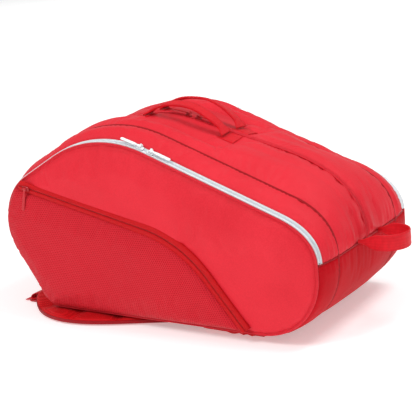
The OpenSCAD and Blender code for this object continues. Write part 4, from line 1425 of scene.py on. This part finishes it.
def on_top(y, along, part, mirror=False):
    """Place a part that was built along +X on the bag's top, along metres right of the crest's arc."""
    c, r, fall = crest_at(y)
    back = max(0.0, -along / r) * 180 / np.pi
    a = 90 - fall + back
    p = c + r * heading(a) + max(0.0, along) * heading(-fall)
    tilt = 0.0 if y == 0 else -np.sign(y) * np.degrees(np.arctan(SEAM_RISE / (SIDE_Y - SEAM_Y)))
    v, f = part
    if mirror:
        v, f = v * [-1, 1, 1], [q[::-1] for q in f]
    return moved((v, f), (p[0], y, p[1]), turned("Y", fall - back) @ turned("X", tilt))


def on_pocket(part, sign):
    """Place a part on the closed left end of the pocket's mouth, its pull hanging down."""
    x = MOUTH[0] + 0.014
    at = (x, -PANEL_Y - 8 * MM, MOUTH[1] - 0.014 * np.tan(np.radians(MOUTH_FALL)))
    placed = moved(part, at, turned("X", 90) @ turned("Z", -90 - MOUTH_FALL))
    return placed if sign < 0 else mirrored(placed)


def slider_and_pull(name, slider, pull, metal, rubber):
    for kind, part, finish, stuff, extra in (("slider", slider, metal, "metal", "body"),
                                             ("pull", pull, rubber, "rubber", "tab")):
        add(f"{name}_{kind}_{extra}", part, finish, f"{name}_{kind}",
            [f"{name}_{kind}"])


LEFT_ALONG, RIGHT_ALONG = -14.4 * MM, 9.6 * MM
SLIDER, TURNED_SLIDER = slider_part(), slider_part(90)
PULL = moved(pull_part(), (0, 0, PIN_Z))

for name, y, metal, rubber, colour in (("front", -ZIP_Y, WHITE_METAL, WHITE_RUBBER, "white"),
                                       ("rear", ZIP_Y, WHITE_METAL, WHITE_RUBBER, "white"),
                                       ("centre", 0.0, RED_METAL, RED_RUBBER, "red")):
    for where, along, flip in (("left", LEFT_ALONG, True), ("right", RIGHT_ALONG, False)):
        slider_and_pull(f"{name}_{where}", on_top(y, along, SLIDER, flip), on_top(y, along, PULL, flip),
                        metal, rubber)
for side, sign in SIDES.items():
    slider_and_pull(f"{side}_pocket", on_pocket(TURNED_SLIDER, sign), on_pocket(PULL, sign),
                    RED_METAL, RED_RUBBER)

# ---- Handles, end loop, webbing and buckles ----


def top_z(x, y):
    """Height of the bag's top at x and y."""
    q = rib(y)[:LEFT_SEAM - 20]
    return np.interp(x, q[::-1, 0], q[::-1, 1])


HANDLE_X0, HANDLE_X1, HANDLE_IN, HANDLE_W, HANDLE_RISE = -0.095, 0.088, 0.011, 0.036, 0.038
HANDLE_LIFT = 4.4 * MM


def sewn_bar(at, across, along, up, half, lift):
    """A short row of stitches across a strap."""
    bar = at + across * np.linspace(-half, half, 20)[:, None]
    return stitches(bar, np.broadcast_to(along, bar.shape), np.broadcast_to(up, bar.shape), 0.0, lift,
                    BAR_PITCH)


def box_stitch(path, side, up, half, lift):
    """A sewn box with a cross over the whole length of a path."""
    t = np.linspace(-1, 1, len(path))[:, None]
    rows = [stitches(path, side, up, a, lift, BAR_PITCH) for a in (-half, half)]
    rows += [stitches(path + side * (half * k * t), side, up, 0.0, lift, BAR_PITCH) for k in (-1, 1)]
    along = unit(path[1] - path[0])
    return rows + [sewn_bar(path[end], side[end], along, up[end], half, lift) for end in (0, -1)]


def handle_arch():
    """Arc of a handle over its chord, in the XZ plane, with its up directions."""
    z0, z1 = top_z(HANDLE_X0, HANDLE_IN), top_z(HANDLE_X1, HANDLE_IN)
    a, b = np.array([HANDLE_X0, z0 + HANDLE_LIFT]), np.array([HANDLE_X1, z1 + HANDLE_LIFT])
    chord = np.linalg.norm(b - a)
    r = (chord ** 2 / 4 + HANDLE_RISE ** 2) / (2 * HANDLE_RISE)
    half = np.arcsin(chord / 2 / r)
    t = np.linspace(-half, half, 90)
    along, up = (b - a) / chord, np.array([-(b - a)[1], (b - a)[0]]) / chord
    p = (a + b) / 2 + (r * np.sin(t))[:, None] * along + (r * np.cos(t) - (r - HANDLE_RISE))[:, None] * up
    n = np.sin(t)[:, None] * along + np.cos(t)[:, None] * up
    return p, n


def handle(side, sign):
    """A webbing arch that leans outwards and twists a little, narrowed along its middle."""
    p, n = handle_arch()
    u = np.linspace(-1, 1, len(p))
    y = sign * (HANDLE_IN + HANDLE_W / 2)
    lean = sign * 3 * MM * (1 - u ** 2) + sign * 1.2 * MM * np.sin(3 * u)
    path = np.stack([p[:, 0], y + lean, p[:, 1]], 1)
    tip = np.radians(sign * -16 * (1 - u ** 2))
    flat_up = np.stack([n[:, 0], 0 * u, n[:, 1]], 1)
    up = unit(flat_up * np.cos(tip)[:, None] + np.array([0, 1.0, 0]) * -np.sin(tip)[:, None])
    side_v = unit(np.cross(up, path_tangents(path)))
    path[:, 2] += 0.5 * MM * np.sin(9 * u)
    narrow = 1 - 0.42 * np.clip(2.2 * (1 - u ** 4), 0, 1) ** 2
    thicken = np.stack([narrow, 1.9 - 0.9 * narrow], 1)
    band = sweep(path, side_v, up, strip_section(HANDLE_W, 3.0 * MM, 0.6 * MM, 14)[None] * thicken[:, None])
    edge = side_v * (narrow * (HANDLE_W / 2 - 2.6 * MM))[:, None]
    crest = path + up * (2.7 * MM * (1 - narrow))[:, None]
    rows = [no_uv(stitches(crest + k * edge, side_v, up, 0.0, 1.9 * MM, EDGE_PITCH)) for k in (-1, 1)]
    add(f"{side}_handle_webbing", [band] + rows, [WEBBING, THREAD], f"{side}_handle",
        [f"{side}_handle"])


PATCH_L = 36 * MM


def handle_patch_parts():
    """Webbing patches under the handles' feet, sewn down with a box and cross."""
    strips, rows = [], []
    for x0 in (HANDLE_X0 - 25 * MM, HANDLE_X1 - 11 * MM):
        for sign in (-1, 1):
            x = np.linspace(x0, x0 + PATCH_L, 14)
            y = sign * (HANDLE_IN + HANDLE_W / 2)
            z = top_z(x, y)
            tilt = (top_z(x, y + 5 * MM) - top_z(x, y - 5 * MM)) / (10 * MM)
            path = np.stack([x, 0 * x + y, z + 1.3 * MM], 1)
            side_v = unit(np.stack([0 * x, 1 + 0 * x, tilt], 1))
            up = unit(np.cross(path_tangents(path), side_v))
            strips.append(sweep(path, side_v, up, strip_section(HANDLE_W + 2 * MM, 1.8 * MM, 0.2 * MM, 14)))
            inner = slice(2, -2)
            rows += box_stitch(path[inner], side_v[inner], up[inner], 14 * MM, 1.1 * MM)
    add("handle_patch_webbing", strips, WEBBING, "shell", ["handle_patches"])
    add("handle_patch_thread", rows, THREAD, "shell")


for side, sign in SIDES.items():
    handle(side, sign)
handle_patch_parts()


LOOP_W, PINCH_W, PINCH_RUN = 30 * MM, 7 * MM, 39 * MM


def end_loop():
    """Grab loop: flat webbing pinched to a fold at both sewn ends, wide and rounded at its middle."""
    lo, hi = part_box("end_loop")
    r = (hi[1] - lo[1]) / 2 - 1.5 * MM
    x0, x1 = lo[0] + 1.5 * MM, hi[0] - 1.5 * MM - r
    z = (lo[2] + hi[2]) / 2
    a = np.linspace(-np.pi / 2, np.pi / 2, 60)
    bow = np.stack([x1 + r * np.cos(a), r * np.sin(a)], 1)
    legs = np.linspace(x0, x1, 26)[:-1]
    leg = np.stack([legs, np.full(len(legs), -r)], 1)
    flat = np.concatenate([leg, bow, leg[::-1] * [1, -1]])
    path = np.column_stack([flat, np.full(len(flat), z)])
    s = path_lengths(path)
    d = np.minimum(s, s[-1] - s)
    t = smooth_step(np.clip(d / PINCH_RUN, 0, 1))
    width = PINCH_W + (LOOP_W - PINCH_W) * t
    fold = (1 - t) * 3.6 * MM + 0.7 * MM
    n = 15
    across = np.linspace(-0.5, 0.5, n)
    crease = 1 - 2 * np.abs(across)
    top = np.stack([across[None] * width[:, None], 1.3 * MM + fold[:, None] * crease[None]], -1)
    low = np.stack([across[None] * width[:, None], -1.3 * MM + fold[:, None] * crease[None] * 0.8], -1)
    section = np.concatenate([low, top[:, ::-1]], 1)
    out = np.cross(path_tangents(path), UPWARD)
    out = out * np.sign((out * (path - [x1, 0, z])).sum(1, keepdims=True) + 1e-9)
    band = sweep(path, UPWARD, out, section)
    rows = [stitches(path[8:-8], UPWARD, out[8:-8], off, 2.0 * MM, EDGE_PITCH)
            for off in (-12 * MM, 12 * MM)]
    for k in (14, -15):
        rows.append(sewn_bar(path[k], UPWARD, unit(path[k + 1] - path[k]), out[k], 11 * MM, 2.0 * MM))
    add("end_loop_webbing", [band] + [no_uv(row) for row in rows], [WEBBING, THREAD], "end_loop",
        ["end_loop"])


end_loop()


def rounded_path(points, r, n=6):
    """An open path in the plane with its corners rounded by parabolas."""
    out = [points[0]]
    for p, q, s in zip(points, points[1:], points[2:]):
        a, b = q + unit(p - q) * r, q + unit(s - q) * r
        t = np.linspace(0, 1, n)[:, None]
        out += list((1 - t) ** 2 * a + 2 * t * (1 - t) * q + t ** 2 * b)
    return np.array(out + [points[-1]])


STRAP_TAPE_W, STRAP_TAPE_Z = 25 * MM, 1.25 * MM


def strap_webbing(side, sign):
    """Flat webbing from the buckle back to its lower anchor, and from the pad's end to the upper one.

    Each run rises from the ground by slack * sin(pi s)^2 and ends in a short riser to its anchor.
    The free end makes a loop over the buckle and a tail that lies beside it.
    """
    strips = []
    for x0, x1, y, slack in ((-0.360, -0.207, -0.1345, 1.6 * MM), (0.006, 0.075, -0.122, 0.3 * MM)):
        x = np.linspace(x0, x1, 50)
        s = (x - x0) / (x1 - x0)
        lift = slack * np.sin(np.pi * s) ** 2 * (0.6 + 0.4 * np.cos(7 * s))
        path = np.stack([x, y + 0 * x, STRAP_TAPE_Z + lift], 1)
        up = unit(np.cross(path_tangents(path), [0, 1.0, 0]) * -1)
        strips.append(sweep(path, [0, 1.0, 0], up * np.sign(up[:, 2:]),
                            strip_section(STRAP_TAPE_W, 1.7 * MM, 0.1 * MM, 12)))
    for x, y in ((-0.2195, -0.122), (0.0625, -0.1095)):
        pts = rounded_path(np.array([(y - 0.004, 2.4 * MM), (y + 0.004, 3.0 * MM), (-0.086, 15.0 * MM),
                                     (-0.0785, 15.2 * MM)]), 3 * MM)
        path = np.stack([np.full(len(pts), x), pts[:, 0], pts[:, 1]], 1)
        up = unit(np.cross([1.0, 0, 0], path_tangents(path)))
        strips.append(sweep(path, [1.0, 0, 0], up * np.sign(up[:, 2:]),
                            strip_section(STRAP_TAPE_W, 1.6 * MM, 0.1 * MM, 12)))
    loop = np.array([(-0.322, 19), (-0.350, 20), (-0.366, 15), (-0.371, 8), (-0.364, 3.4), (-0.350, 2.6)])
    tail = np.array([(-0.334, 4.6), (-0.356, 7.0), (-0.374, 3.4), (-0.385, 1.6)])
    for shape, y, width in ((loop, -0.1335, 24), (tail, -0.1355, 23)):
        pts = rounded_path(shape * [1, MM], 5 * MM, 5)
        path = resample(np.stack([pts[:, 0], np.full(len(pts), y), pts[:, 1]], 1), 2 * MM)
        up = unit(np.cross([0, 1.0, 0], path_tangents(path)))
        strips.append(sweep(path, [0, 1.0, 0], up, strip_section(width * MM, 1.5 * MM, 0.1 * MM, 12)))
    if sign > 0:
        strips = [(*mirrored(p), p[2]) for p in strips]
    add(f"{side}_strap_webbing_tape", strips, WEBBING, f"{side}_strap",
        [f"{side}_strap_webbing"])


def strap_buckle(side, sign):
    """Ladder-lock buckle: a rounded frame with a middle bar and a curved grip."""
    lo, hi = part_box("front_strap_buckle")
    c = np.array([(lo[0] + hi[0]) / 2, (lo[1] + hi[1]) / 2, (lo[2] + hi[2]) / 2])
    lx, ly = hi[0] - lo[0], hi[1] - lo[1]
    ring = np.array([(-1, -1), (1, -1), (1, 1), (-1, 1)]) * [(lx - 4.4 * MM) / 2, (ly - 4.4 * MM) / 2]
    ring = even_outline(rounded_path(np.concatenate([ring[3:], ring, ring[:1]])[:-1], 4 * MM), 1.5 * MM)
    path = np.column_stack([ring, np.zeros(len(ring))]) + c
    out = np.cross(path_tangents(path, True), UPWARD)
    parts = [sweep(path, out, UPWARD, round_section(2.1 * MM, 14), True)[:2]]
    for x, z, r in ((-0.3 * MM, 0.0, 1.5 * MM), (lx / 2 - 2.4 * MM, 0.8 * MM, 2.0 * MM)):
        y = np.linspace(-ly / 2 + 2.4 * MM, ly / 2 - 2.4 * MM, 24)
        bar = np.stack([0 * y + x, y, z + 0.5 * MM * np.cos(np.pi * y / ly)], 1) + c
        parts.append(sweep(bar, [1.0, 0, 0], UPWARD, round_section(r, 12) * [1.5, 0.9])[:2])
    part = join_parts(parts)
    add(f"{side}_strap_buckle_frame", part if sign < 0 else mirrored(part), RED_PLASTIC, f"{side}_strap",
        [f"{side}_strap_buckle"])


for side, sign in SIDES.items():
    strap_webbing(side, sign)
    strap_buckle(side, sign)

# ---- Nodes of the model that show as they are ----

for node, finish in (("front_divider", LINING), ("rear_divider", LINING), ("base_board", BOARD),
                     ("strap_anchors", DARK_SATIN)):
    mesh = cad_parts[node].data
    mesh.materials.clear()
    mesh.materials.append(finish)
